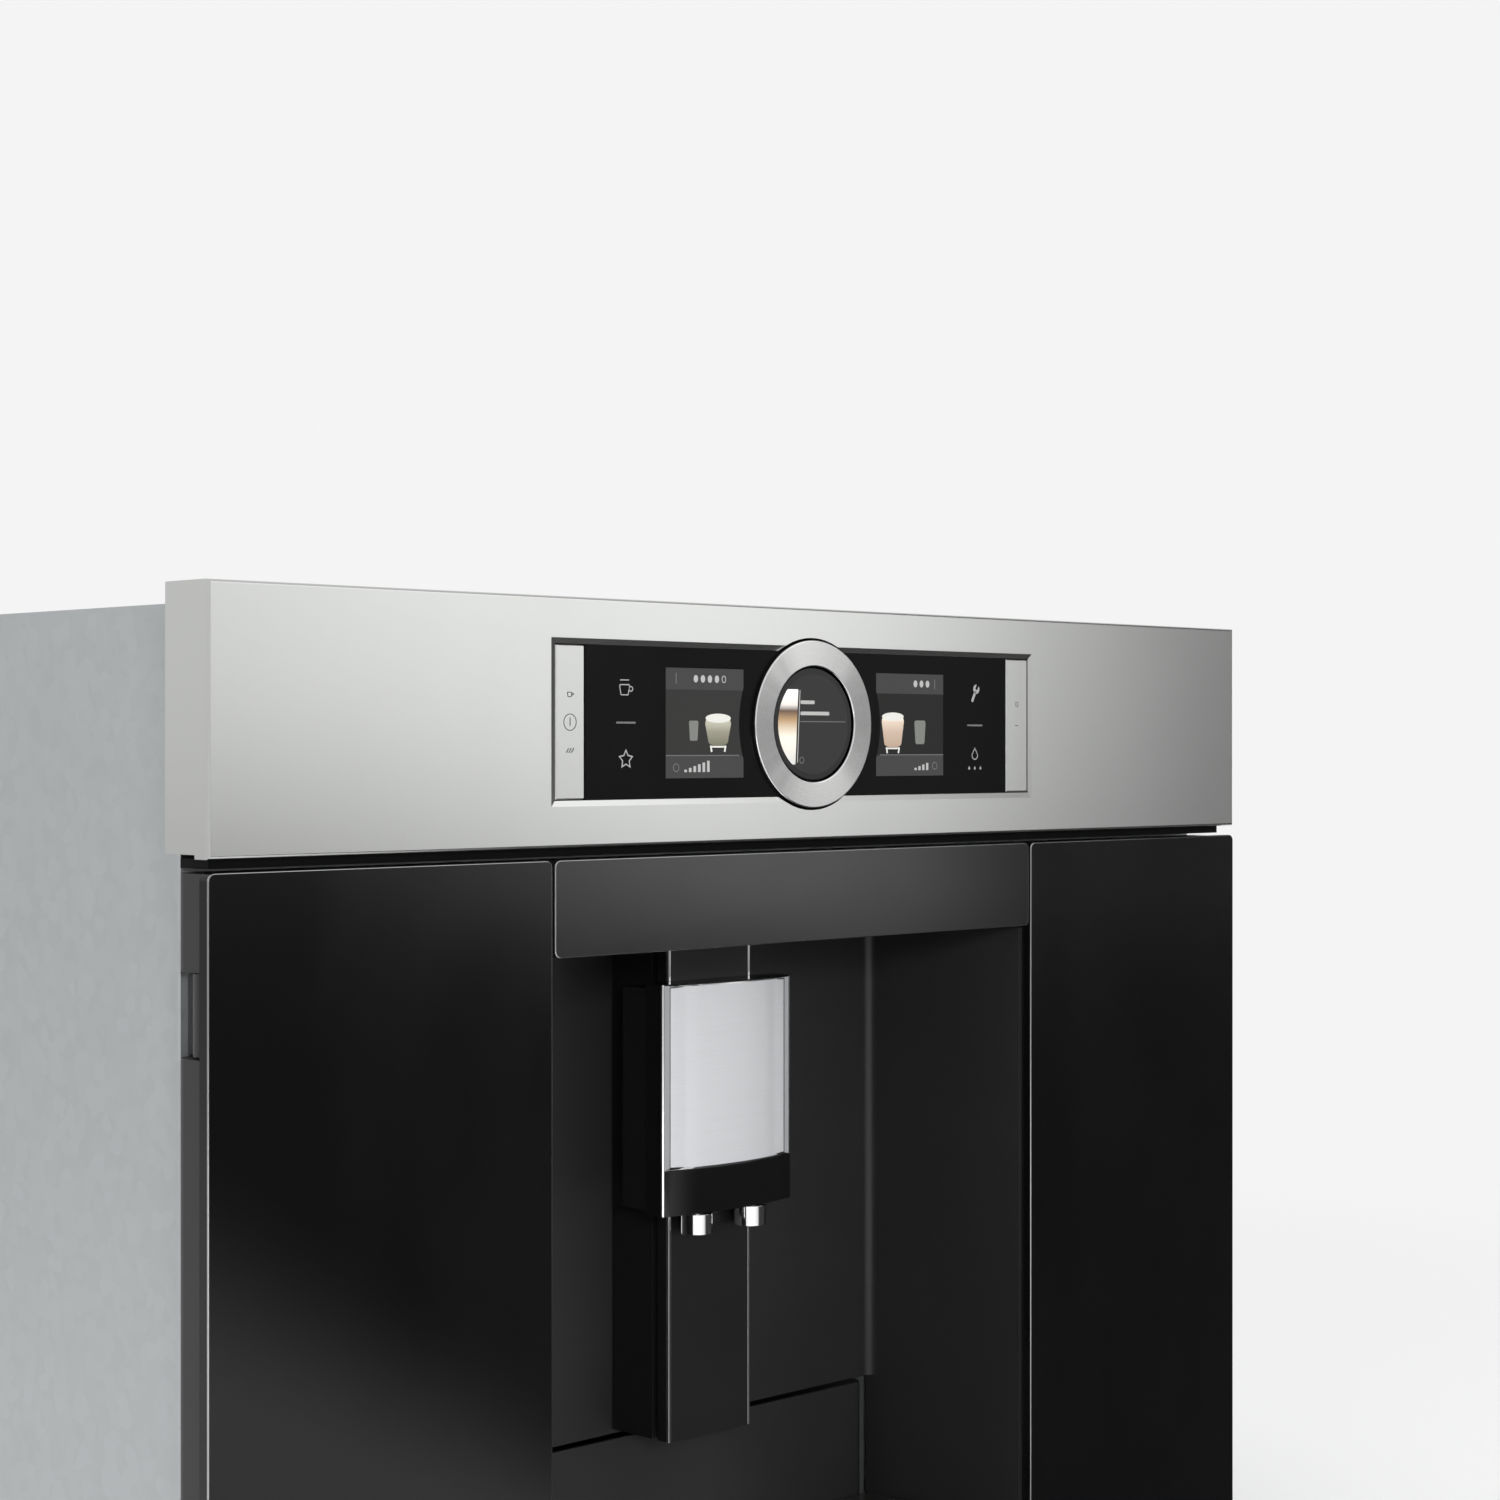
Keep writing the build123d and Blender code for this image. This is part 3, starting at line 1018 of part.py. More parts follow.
with BuildPart() as bean_hopper:
    with BuildSketch(level(HOPPER_BOTTOM)) as hopper_outline:
        span(-UNIT_OUTER, -UNIT_INNER, behind(UNIT_START), behind(HOPPER_END))
        fillet(hopper_outline.vertices(), HOPPER_CORNER)
    extrude(amount=HOPPER_HEIGHT)
    with BuildSketch(level(HOPPER_BOTTOM + WALL)):
        offset(hopper_outline.sketch, amount=-WALL)
    extrude(amount=HOPPER_HEIGHT - 2 * WALL, mode=Mode.SUBTRACT)
    mouth = (WALL - UNIT_OUTER, -UNIT_INNER - WALL, UNIT_START + WALL, HOPPER_MOUTH_END)
    block(*mouth, HOPPER_TOP - WALL, HOPPER_TOP, mode=Mode.SUBTRACT)
    post(UNIT_X, GRINDER_DEPTH, HOPPER_OUTLET, HOPPER_BOTTOM, HOPPER_BOTTOM + WALL, Mode.SUBTRACT)
    hopper_axis_z = HOPPER_TOP + LID_LIFT + BARREL_RADIUS
    hopper_axis_depth = HOPPER_MOUTH_END + LUG_LENGTH
    for lug_x in (HOPPER_CORNER - UNIT_OUTER, -UNIT_INNER - HOPPER_CORNER - LUG_WIDTH):
        block(
            lug_x, lug_x + LUG_WIDTH, hopper_axis_depth - BARREL_RADIUS, hopper_axis_depth + BARREL_RADIUS,
            HOPPER_TOP - WALL / 2, hopper_axis_z + BARREL_RADIUS,
        )
        bar(hopper_axis_depth, hopper_axis_z, BARREL_PIN + RUNNING, lug_x, lug_x + LUG_WIDTH, Mode.SUBTRACT)
bean_hopper.part.label = "bean_hopper"
export_step(bean_hopper.part, "parts/bean_hopper.step")

with BuildPart() as hopper_lid:
    barrel_left = HOPPER_CORNER - UNIT_OUTER + LUG_WIDTH + MOVING_GAP
    barrel_right = -UNIT_INNER - HOPPER_CORNER - LUG_WIDTH - MOVING_GAP
    lid_bottom = HOPPER_TOP + LID_LIFT
    lid_end = hopper_axis_depth - BARREL_RADIUS - LUG_CLEARANCE
    lid_top = lid_bottom + LID_THICKNESS
    lid_plate = (WALL / 2 - UNIT_OUTER, -UNIT_INNER - WALL / 2, UNIT_START + WALL / 2, lid_end)
    block(*lid_plate, lid_bottom, lid_top)
    block(barrel_left, barrel_right, lid_end, hopper_axis_depth, lid_bottom, lid_top)
    bar(hopper_axis_depth, hopper_axis_z, BARREL_RADIUS, barrel_left, barrel_right)
    pin_reach = LUG_WIDTH - SEAT_GAP
    bar(hopper_axis_depth, hopper_axis_z, BARREL_PIN, barrel_left - pin_reach, barrel_right + pin_reach)
hopper_lid.part.label = "hopper_lid"
export_step(hopper_lid.part, "parts/hopper_lid.step")

with BuildPart() as grinder_housing:
    chamber_floor = GRINDER_BOTTOM + GRINDER_FLOOR
    lever_z = GRINDER_BOTTOM + LEVER_RISE
    slot_half = LEVER_TRAVEL + LEVER_STEM + MOVING_GAP
    block(
        GRINDER_INSET - UNIT_OUTER, -UNIT_INNER - GRINDER_INSET, GRINDER_START, GRINDER_END,
        GRINDER_BOTTOM, GRINDER_TOP,
    )
    post(UNIT_X, GRINDER_DEPTH, BURR_CHAMBER, chamber_floor, GRINDER_TOP, Mode.SUBTRACT)
    post(UNIT_X, GRINDER_DEPTH, BURR_SHAFT + RUNNING, GRINDER_BOTTOM, chamber_floor, Mode.SUBTRACT)
    post(UNIT_X, GROUNDS_DROP_DEPTH, GROUNDS_DROP_RADIUS, GRINDER_BOTTOM, chamber_floor, Mode.SUBTRACT)
    block(
        UNIT_X - slot_half, UNIT_X + slot_half, GRINDER_START, GRINDER_START + LEVER_SLOT_DEPTH,
        lever_z - LEVER_STEM - MOVING_GAP, lever_z + LEVER_STEM + MOVING_GAP,
        mode=Mode.SUBTRACT,
    )
grinder_housing.part.label = "grinder_housing"
export_step(grinder_housing.part, "parts/grinder_housing.step")

with BuildPart() as fixed_burr:
    burr_bottom = GRINDER_TOP - BURR_HEIGHT
    post(UNIT_X, GRINDER_DEPTH, BURR_CHAMBER - FIT, burr_bottom, GRINDER_TOP)
    with Locations((UNIT_X, behind(GRINDER_DEPTH), burr_bottom + BURR_HEIGHT / 2)):
        Cone(BURR_LOW_BORE, BURR_TOP_BORE, BURR_HEIGHT, mode=Mode.SUBTRACT)
fixed_burr.part.label = "fixed_burr"
export_step(fixed_burr.part, "parts/fixed_burr.step")

with BuildPart() as grinding_burr:
    cone_height = BURR_HEIGHT - 2 * CONE_INSET
    with Locations((UNIT_X, behind(GRINDER_DEPTH), burr_bottom + BURR_HEIGHT / 2)):
        Cone(CONE_LOW, CONE_TOP, cone_height)
    post(UNIT_X, GRINDER_DEPTH, BURR_SHAFT, GRINDER_BOTTOM + FIT, burr_bottom + CONE_INSET)
grinding_burr.part.label = "grinding_burr"
export_step(grinding_burr.part, "parts/grinding_burr.step")

with BuildPart() as grind_lever:
    block(
        UNIT_X - LEVER_STEM, UNIT_X + LEVER_STEM, LEVER_FRONT, LEVER_STEM_END,
        lever_z - LEVER_STEM, lever_z + LEVER_STEM,
    )
    knob_end = GRINDER_START - MOVING_GAP
    block(
        UNIT_X - LEVER_KNOB, UNIT_X + LEVER_KNOB, LEVER_FRONT, knob_end,
        lever_z - LEVER_KNOB, lever_z + LEVER_KNOB,
    )
grind_lever.part.label = "grind_lever"
export_step(grind_lever.part, "parts/grind_lever.step")

with BuildPart() as grinder_motor:
    motor_top = GRINDER_BOTTOM + MOTOR_HEIGHT
    post(UNIT_X, MOTOR_DEPTH, MOTOR_RADIUS, GRINDER_BOTTOM, motor_top)
    fillet(grinder_motor.edges().filter_by(GeomType.CIRCLE).sort_by(Axis.Z)[-1], MOTOR_ROUND)
    post(UNIT_X, MOTOR_DEPTH, BURR_SHAFT, motor_top, motor_top + MOTOR_SHAFT_LENGTH)
grinder_motor.part.label = "grinder_motor"
export_step(grinder_motor.part, "parts/grinder_motor.step")

# ======== brew unit ========

with BuildPart() as brew_unit:
    cavity_bottom = BREW_BOTTOM + BREW_FLOOR
    cavity_top = CHAMBER_BOTTOM - CHAMBER_FLOOR
    block(-UNIT_OUTER, -UNIT_INNER, UNIT_START, BREW_END, BREW_BOTTOM, BREW_TOP)
    post(UNIT_X, BREW_AXIS_DEPTH, CHAMBER_RADIUS, CHAMBER_BOTTOM, BREW_TOP, Mode.SUBTRACT)
    post(UNIT_X, BREW_AXIS_DEPTH, PISTON_ROD + MOVING_GAP, cavity_top, CHAMBER_BOTTOM, Mode.SUBTRACT)
    block(
        UNIT_X - BREW_CAVITY, UNIT_X + BREW_CAVITY, UNIT_START, BREW_AXIS_DEPTH + BREW_CAVITY,
        cavity_bottom, cavity_top, mode=Mode.SUBTRACT,
    )
    fillet(brew_unit.faces().sort_by(Axis.Y)[0].outer_wire().edges().filter_by(Axis.Z), BREW_CORNER)
brew_unit.part.label = "brew_unit"
export_step(brew_unit.part, "parts/brew_unit.step")

with BuildPart() as brew_piston:
    piston_top = BREW_TOP - PISTON_DROP
    piston_bottom = piston_top - PISTON_HEIGHT
    post(UNIT_X, BREW_AXIS_DEPTH, CHAMBER_RADIUS - RUNNING, piston_bottom, piston_top)
    post(UNIT_X, BREW_AXIS_DEPTH, PISTON_ROD, piston_bottom - PISTON_ROD_LENGTH, piston_bottom)
brew_piston.part.label = "brew_piston"
export_step(brew_piston.part, "parts/brew_piston.step")

with BuildPart() as brew_cradle:
    cradle_left = CRADLE_INSET - UNIT_OUTER
    cradle_right = -UNIT_INNER - CRADLE_INSET
    rail_top = BREW_BOTTOM - SEAT_GAP
    block(cradle_left, cradle_right, UNIT_START, DRIVE_END, PAN_TOP, PAN_TOP + CRADLE_FLOOR)
    for x0 in (cradle_left, cradle_right - CRADLE_RAIL):
        block(x0, x0 + CRADLE_RAIL, UNIT_START, BREW_END, PAN_TOP, rail_top)
brew_cradle.part.label = "brew_cradle"
export_step(brew_cradle.part, "parts/brew_cradle.step")

with BuildPart() as brew_drive:
    drive_bottom = PAN_TOP + CRADLE_FLOOR + FIT
    block(cradle_left, cradle_right, DRIVE_START, DRIVE_END, drive_bottom, DRIVE_HEIGHT)
    rod(UNIT_X, DRIVE_MOTOR_Z, DRIVE_MOTOR_RADIUS, DRIVE_END, DRIVE_MOTOR_END)
    rod(UNIT_X, DRIVE_MOTOR_Z, DRIVE_SHAFT, BREW_END + MOVING_GAP, DRIVE_START)
brew_drive.part.label = "brew_drive"
export_step(brew_drive.part, "parts/brew_drive.step")

with BuildPart() as grounds_chute:
    chute_left = FIT - PARTITION
    chute_bottom = SHELF_TOP + FIT
    chute_top = chute_bottom + CHUTE_HEIGHT
    block(chute_left, chute_right, CHUTE_START, CHUTE_END, chute_bottom, chute_top)
    block(*chute_hole, chute_bottom, chute_top, mode=Mode.SUBTRACT)
    block(chute_left, CHUTE_WALL - PARTITION, *window, mode=Mode.SUBTRACT)
grounds_chute.part.label = "grounds_chute"
export_step(grounds_chute.part, "parts/grounds_chute.step")

# ======== water tank ========

with BuildPart() as water_tank:
    with BuildSketch(level(TANK_BOTTOM)) as tank_outline:
        span(UNIT_INNER, TANK_OUTER, behind(UNIT_START), behind(TANK_END))
        fillet(tank_outline.vertices(), TANK_CORNER)
    extrude(amount=TANK_HEIGHT)
    with BuildSketch(level(TANK_BOTTOM + WALL)):
        offset(tank_outline.sketch, amount=-WALL)
    extrude(amount=TANK_HEIGHT - 2 * WALL, mode=Mode.SUBTRACT)
    tank_mouth = (UNIT_INNER + TANK_CORNER, TANK_OUTER - TANK_CORNER, TANK_MOUTH_START, TANK_MOUTH_END)
    block(*tank_mouth, TANK_TOP - WALL, TANK_TOP, mode=Mode.SUBTRACT)
    rod(TANK_X, PORT_Z, SPIGOT_RADIUS + PORT_CLEARANCE, TANK_END - WALL, TANK_END, Mode.SUBTRACT)
    tank_axis_z = TANK_TOP + LID_LIFT + BARREL_RADIUS
    handle_axis_z = TANK_TOP + HANDLE_RISE
    for lug_x in (UNIT_INNER + TANK_CORNER, TANK_OUTER - TANK_CORNER - LUG_WIDTH):
        block(
            lug_x, lug_x + LUG_WIDTH, TANK_AXIS_DEPTH - BARREL_RADIUS, TANK_AXIS_DEPTH + BARREL_RADIUS,
            TANK_TOP - WALL / 2, tank_axis_z + BARREL_RADIUS,
        )
        bar(TANK_AXIS_DEPTH, tank_axis_z, BARREL_PIN + RUNNING, lug_x, lug_x + LUG_WIDTH, Mode.SUBTRACT)
    for lug_x in (UNIT_INNER + WALL, TANK_OUTER - WALL - LUG_WIDTH):
        block(
            lug_x, lug_x + LUG_WIDTH, HANDLE_AXIS_DEPTH - HANDLE_RISE, HANDLE_AXIS_DEPTH + HANDLE_RISE,
            TANK_TOP - WALL / 2, handle_axis_z + HANDLE_RISE,
        )
        bar(HANDLE_AXIS_DEPTH, handle_axis_z, HANDLE_PIN + RUNNING, lug_x, lug_x + LUG_WIDTH, Mode.SUBTRACT)
water_tank.part.label = "water_tank"
export_step(water_tank.part, "parts/water_tank.step")

with BuildPart() as tank_lid:
    barrel_left = UNIT_INNER + TANK_CORNER + LUG_WIDTH + MOVING_GAP
    barrel_right = TANK_OUTER - TANK_CORNER - LUG_WIDTH - MOVING_GAP
    lid_bottom = TANK_TOP + LID_LIFT
    lid_start = TANK_MOUTH_START - WALL / 2
    lid_end = TANK_AXIS_DEPTH - BARREL_RADIUS - LUG_CLEARANCE
    block(UNIT_INNER + WALL, TANK_OUTER - WALL, lid_start, lid_end, lid_bottom, lid_bottom + LID_THICKNESS)
    block(barrel_left, barrel_right, lid_end, TANK_AXIS_DEPTH, lid_bottom, lid_bottom + LID_THICKNESS)
    bar(TANK_AXIS_DEPTH, tank_axis_z, BARREL_RADIUS, barrel_left, barrel_right)
    bar(TANK_AXIS_DEPTH, tank_axis_z, BARREL_PIN, barrel_left - pin_reach, barrel_right + pin_reach)
tank_lid.part.label = "tank_lid"
export_step(tank_lid.part, "parts/tank_lid.step")

with BuildPart() as tank_handle:
    arm_left = UNIT_INNER + WALL + LUG_WIDTH + MOVING_GAP
    arm_right = TANK_OUTER - WALL - LUG_WIDTH - MOVING_GAP
    bar_half = HANDLE_BAR / 2
    bar_levels = (handle_axis_z - bar_half, handle_axis_z + bar_half)
    for x0 in (arm_left, arm_right - HANDLE_BAR):
        block(x0, x0 + HANDLE_BAR, HANDLE_START, HANDLE_AXIS_DEPTH, *bar_levels)
        bar(HANDLE_AXIS_DEPTH, handle_axis_z, bar_half, x0, x0 + HANDLE_BAR)
    block(arm_left, arm_right, HANDLE_START, HANDLE_START + HANDLE_BAR, *bar_levels)
    bar(HANDLE_AXIS_DEPTH, handle_axis_z, HANDLE_PIN, arm_left - pin_reach, arm_left + HANDLE_BAR)
    bar(HANDLE_AXIS_DEPTH, handle_axis_z, HANDLE_PIN, arm_right - HANDLE_BAR, arm_right + pin_reach)
tank_handle.part.label = "tank_handle"
export_step(tank_handle.part, "parts/tank_handle.step")

with BuildPart() as tank_seat:
    seat_top = TANK_BOTTOM - SEAT_GAP
    wall_start = TANK_END + MOVING_GAP
    block(UNIT_INNER, TANK_OUTER, UNIT_START, SEAT_END, PAN_TOP, seat_top)
    block(
        UNIT_INNER + SEAT_WALL, TANK_OUTER - SEAT_WALL, UNIT_START + SEAT_WALL, SEAT_END - SEAT_WALL,
        PAN_TOP, seat_top - SEAT_WALL, mode=Mode.SUBTRACT,
    )
    block(UNIT_INNER, TANK_OUTER, wall_start, SEAT_END, seat_top, SEAT_WALL_TOP)
    rod(TANK_X, PORT_Z, SPIGOT_RADIUS, TANK_END - SPIGOT_LENGTH, wall_start)
tank_seat.part.label = "tank_seat"
export_step(tank_seat.part, "parts/tank_seat.step")

# ======== water and power behind the bay ========

with BuildPart() as water_pump:
    rod(PUMP_X, PUMP_Z, PUMP_RADIUS, PUMP_START, PUMP_END)
    rod(PUMP_X, PUMP_Z, PUMP_RADIUS / 2, PUMP_START - PUMP_NECK, PUMP_END + PUMP_NECK)
    foot = (PUMP_X - PUMP_RADIUS / 2, PUMP_X + PUMP_RADIUS / 2, PUMP_START + PUMP_NECK, PUMP_END - PUMP_NECK)
    block(*foot, SHELF_TOP + FIT, PUMP_Z - PUMP_RADIUS / 2)
water_pump.part.label = "water_pump"
export_step(water_pump.part, "parts/water_pump.step")

with BuildPart() as thermoblock:
    heater_bottom = SHELF_TOP + FIT
    heater_top = heater_bottom + HEATER_HEIGHT
    block(HEATER_LEFT, HEATER_RIGHT, HEATER_START, HEATER_END, heater_bottom, heater_top)
    with BuildSketch(level(heater_top)):
        with Locations(((HEATER_LEFT + HEATER_RIGHT) / 2, behind(HEATER_END))):
            with GridLocations(HEATER_PITCH, 0, HEATER_FINS, 1):
                Rectangle(HEATER_GROOVE, 2 * HEATER_GROOVE)
    extrude(amount=-HEATER_HEIGHT, mode=Mode.SUBTRACT)
thermoblock.part.label = "thermoblock"
export_step(thermoblock.part, "parts/thermoblock.step")

with BuildPart() as power_board:
    power_top = INNER_TOP - POWER_DROP
    power_bottom = power_top - POWER_HEIGHT
    board_back = INNER_REAR - SHEET - FIT - POWER_STANDOFF
    board_front = board_back - BOARD_THICKNESS
    block(-POWER_HALF, POWER_HALF, board_front, board_back, power_bottom, power_top)
    for side in (-1, 1):
        for standoff_z in (power_bottom + STANDOFF_INSET, power_top - STANDOFF_INSET):
            rod(side * (POWER_HALF - STANDOFF_INSET), standoff_z, STANDOFF_RADIUS, board_back, INNER_REAR)
    coil_bottom = power_bottom + COMPONENT_RISE
    for coil_x, coil_half, coil_height in TRANSFORMERS:
        coil = (coil_x - coil_half, coil_x + coil_half, board_front - COMPONENT_DEPTH, board_front)
        block(*coil, coil_bottom, coil_bottom + coil_height)
    for capacitor_x in CAPACITORS:
        length = (board_front - COMPONENT_DEPTH, board_front)
        rod(capacitor_x, power_top - CAPACITOR_DROP, CAPACITOR_RADIUS, *length)
power_board.part.label = "power_board"
export_step(power_board.part, "parts/power_board.step")

with BuildPart() as power_inlet:
    shell_x = INLET_HALF_WIDTH + INLET_WALL
    shell_z = INLET_HALF_HEIGHT + INLET_WALL
    flange_x = shell_x + INLET_FLANGE
    flange_z = shell_z + INLET_FLANGE
    shell = (INLET_X - shell_x, INLET_X + shell_x, REAR_FACE - INLET_DEPTH, REAR_FACE)
    block(*shell, INLET_Z - shell_z, INLET_Z + shell_z)
    flange = (INLET_X - flange_x, INLET_X + flange_x, REAR_FACE, REAR_EDGE)
    block(*flange, INLET_Z - flange_z, INLET_Z + flange_z)
    recess = (INLET_X - INLET_HALF_WIDTH, INLET_X + INLET_HALF_WIDTH, REAR_EDGE - INLET_RECESS, REAR_EDGE)
    block(*recess, INLET_Z - INLET_HALF_HEIGHT, INLET_Z + INLET_HALF_HEIGHT, mode=Mode.SUBTRACT)
    recess_floor = REAR_EDGE - INLET_RECESS
    for pin_x, pin_z in ((-PIN_PITCH, -PIN_STEP), (0, PIN_STEP), (PIN_PITCH, -PIN_STEP)):
        rod(INLET_X + pin_x, INLET_Z + pin_z, CONTACT_RADIUS, recess_floor, recess_floor + PIN_LENGTH)
power_inlet.part.label = "power_inlet"
export_step(power_inlet.part, "parts/power_inlet.step")

tank_hose_stops = [
    (TANK_X, behind(SEAT_END + FIT), PORT_Z),
    (TANK_X, behind(TANK_HOSE_BACK), PORT_Z),
    (TANK_X, behind(TANK_HOSE_BACK), PUMP_Z),
    (PUMP_X, behind(TANK_HOSE_BACK), PUMP_Z),
    (PUMP_X, behind(PUMP_END + PUMP_NECK + FIT), PUMP_Z),
]
heater_hose_stops = [
    (PUMP_X, behind(PUMP_START - PUMP_NECK - FIT), PUMP_Z),
    (PUMP_X, behind(PUMP_HOSE_FRONT), PUMP_Z),
    (PUMP_HOSE_X, behind(PUMP_HOSE_FRONT), PUMP_Z),
    (PUMP_HOSE_X, behind(HEATER_START - FIT), PUMP_Z),
]
outlet_hose_stops = [
    (PUMP_HOSE_X, behind((HEATER_START + HEATER_END) / 2), heater_top + FIT),
    (PUMP_HOSE_X, behind((HEATER_START + HEATER_END) / 2), BAY_TOP - OUTLET_HOSE_DROP),
    (PUMP_HOSE_X, behind(LINER_BACK + FIT), BAY_TOP - OUTLET_HOSE_DROP),
]

with BuildPart() as water_hoses:
    with BuildLine() as tank_hose:
        FilletPolyline(*tank_hose_stops, radius=HOSE_BEND)
    with BuildSketch(Plane(origin=tank_hose_stops[0], z_dir=(0, 1, 0))):
        Circle(HOSE_RADIUS)
    sweep(path=tank_hose.wire())
    with BuildLine() as heater_hose:
        FilletPolyline(*heater_hose_stops, radius=PUMP_HOSE_BEND)
    with BuildSketch(Plane(origin=heater_hose_stops[0], z_dir=(0, -1, 0))):
        Circle(HOSE_RADIUS)
    sweep(path=heater_hose.wire())
    with BuildLine() as outlet_hose:
        FilletPolyline(*outlet_hose_stops, radius=HOSE_BEND)
    with BuildSketch(Plane(origin=outlet_hose_stops[0], z_dir=(0, 0, 1))):
        Circle(HOSE_RADIUS)
    sweep(path=outlet_hose.wire())
    bar(BREW_HOSE_DEPTH, BREW_HOSE_Z, HOSE_RADIUS, cradle_right + FIT, HEATER_LEFT - FIT)
water_hoses.part.label = "water_hoses"
export_step(water_hoses.part, "parts/water_hoses.step")
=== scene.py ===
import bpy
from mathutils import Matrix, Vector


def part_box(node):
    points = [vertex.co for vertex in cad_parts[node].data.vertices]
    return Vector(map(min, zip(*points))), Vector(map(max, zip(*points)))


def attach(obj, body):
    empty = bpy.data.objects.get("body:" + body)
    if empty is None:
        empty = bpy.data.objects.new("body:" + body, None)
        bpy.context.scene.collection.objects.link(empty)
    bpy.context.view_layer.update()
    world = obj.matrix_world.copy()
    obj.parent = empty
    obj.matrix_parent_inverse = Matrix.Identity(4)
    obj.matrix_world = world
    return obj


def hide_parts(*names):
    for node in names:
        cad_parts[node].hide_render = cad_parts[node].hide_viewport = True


bl_info = {
    "name": "Built-in coffee machine",
    "version": (1, 0, 0),
    "blender": (4, 5, 0),
    "location": "3D View > Sidebar > Coffee machine",
    "description": "Finishes a niche-built coffee machine around its packed model",
    "category": "Object",
}

import math

import bpy
from mathutils import Vector

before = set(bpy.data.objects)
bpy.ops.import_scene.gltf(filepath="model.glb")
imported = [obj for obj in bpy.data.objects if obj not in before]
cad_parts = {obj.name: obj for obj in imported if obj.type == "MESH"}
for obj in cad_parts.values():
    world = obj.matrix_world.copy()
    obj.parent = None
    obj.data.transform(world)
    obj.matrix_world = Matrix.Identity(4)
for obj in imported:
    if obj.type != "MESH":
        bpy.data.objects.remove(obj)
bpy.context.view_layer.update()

MM = 0.001
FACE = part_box("left_door_glass")[0].y            # plane of the door glass and of the band
GLASS_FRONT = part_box("control_glass")[0].y
RING_LOW, RING_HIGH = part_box("control_ring")
DIAL_Z = (RING_LOW.z + RING_HIGH.z) / 2
LENS_LOW, LENS_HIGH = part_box("centre_display")
SCREEN_LOW, SCREEN_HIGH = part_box("right_screen")
KEY_LOW, KEY_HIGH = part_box("right_key")


# -------------------- settings


def length(name, text, millimetres):
    """Length that a user may change, given in millimetres."""
    return bpy.props.FloatProperty(
        name=name, description=text, default=millimetres * MM, min=0.01 * MM, unit="LENGTH")


def tint(name, text, *colour):
    """Colour that a user may change."""
    return bpy.props.FloatVectorProperty(
        name=name, description=text, default=colour, subtype="COLOR", min=0, max=1)


class MachineSizes(bpy.types.PropertyGroup):
    """Sizes of the finish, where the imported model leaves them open."""

    pane_corner: length("Pane corner", "Corner radius of the door's glass panes", 2.8)
    pane_edge: length("Pane edge", "Width of the ground edge round each pane", 0.5)
    dial_edge: length("Dial edge", "Width of the polished edges of the control ring", 0.5)
    print_height: length("Print height", "Thickness of printed symbols and picture layers", 0.04)


class MachineFinishes(bpy.types.PropertyGroup):
    """Colours of the finishes."""

    stainless: tint("Stainless", "Brushed steel of the band and the keys", 0.70, 0.71, 0.695)
    spun_metal: tint("Spun metal", "Turned face of the control ring", 0.74, 0.74, 0.735)
    pane: tint("Pane", "Black backing of the door's glass panes", 0.0035, 0.0035, 0.0038)
    moulding: tint("Moulding", "Black moulded plastic", 0.017, 0.017, 0.0175)
    grey_moulding: tint("Grey moulding", "Grey moulded plastic of the inner units", 0.10, 0.105, 0.11)
    zinc: tint("Zinc", "Galvanised sheet of the body", 0.56, 0.58, 0.59)
    symbol: tint("Symbol", "Light print of the touch symbols", 0.27, 0.27, 0.27)


class MachineStudio(bpy.types.PropertyGroup):
    """Floor, lamps and camera."""

    floor: tint("Floor", "Colour of the floor and the background", 0.88, 0.88, 0.88)
    key_power: bpy.props.FloatProperty(
        name="Key lamp", description="Power of the lamp at the front left, in watts", default=26.0, min=0)
    fill_power: bpy.props.FloatProperty(
        name="Fill lamp", description="Power of each other lamp, in watts", default=12.0, min=0)
    camera_place: bpy.props.FloatVectorProperty(
        name="Camera", description="Place of the camera", default=(-0.843, FACE - 0.8105, 0.3979),
        subtype="XYZ", unit="LENGTH")
    camera_turn: bpy.props.FloatProperty(
        name="Camera turn", description="How far the camera is turned to the right",
        default=math.radians(44.86), subtype="ANGLE")
    lens: bpy.props.FloatProperty(
        name="Lens", description="Focal length in millimetres on a 36 mm sensor", default=67.62, min=10)


# -------------------- modelling by hand

WELD = 0.002 * MM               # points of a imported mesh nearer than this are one
FLATNESS = math.radians(0.6)    # faces that meet at less than this are one flat


def calm():
    """Leaves edit mode and deselects everything."""
    if bpy.context.mode != "OBJECT":
        bpy.ops.object.mode_set(mode="OBJECT")
    bpy.ops.object.select_all(action="DESELECT")


def take(piece):
    """Makes a piece the only selected and the active one."""
    calm()
    piece.select_set(True)
    bpy.context.view_layer.objects.active = piece


def settle(piece):
    """Puts a piece's place into its mesh."""
    take(piece)
    bpy.ops.object.transform_apply(location=True, rotation=True, scale=True)
    return piece


def slab(x0, x1, y0, y1, z0, z1):
    """Box between two corners."""
    calm()
    middle = ((x0 + x1) / 2, (y0 + y1) / 2, (z0 + z1) / 2)
    bpy.ops.mesh.primitive_cube_add(size=1, location=middle, scale=(x1 - x0, y1 - y0, z1 - z0))
    return settle(bpy.context.object)


def barrel(x, z, radius, y0, y1, sides=64):
    """Round bar along Y."""
    calm()
    bpy.ops.mesh.primitive_cylinder_add(
        vertices=sides, radius=radius, depth=y1 - y0,
        location=(x, (y0 + y1) / 2, z), rotation=(math.pi / 2, 0, 0))
    return settle(bpy.context.object)


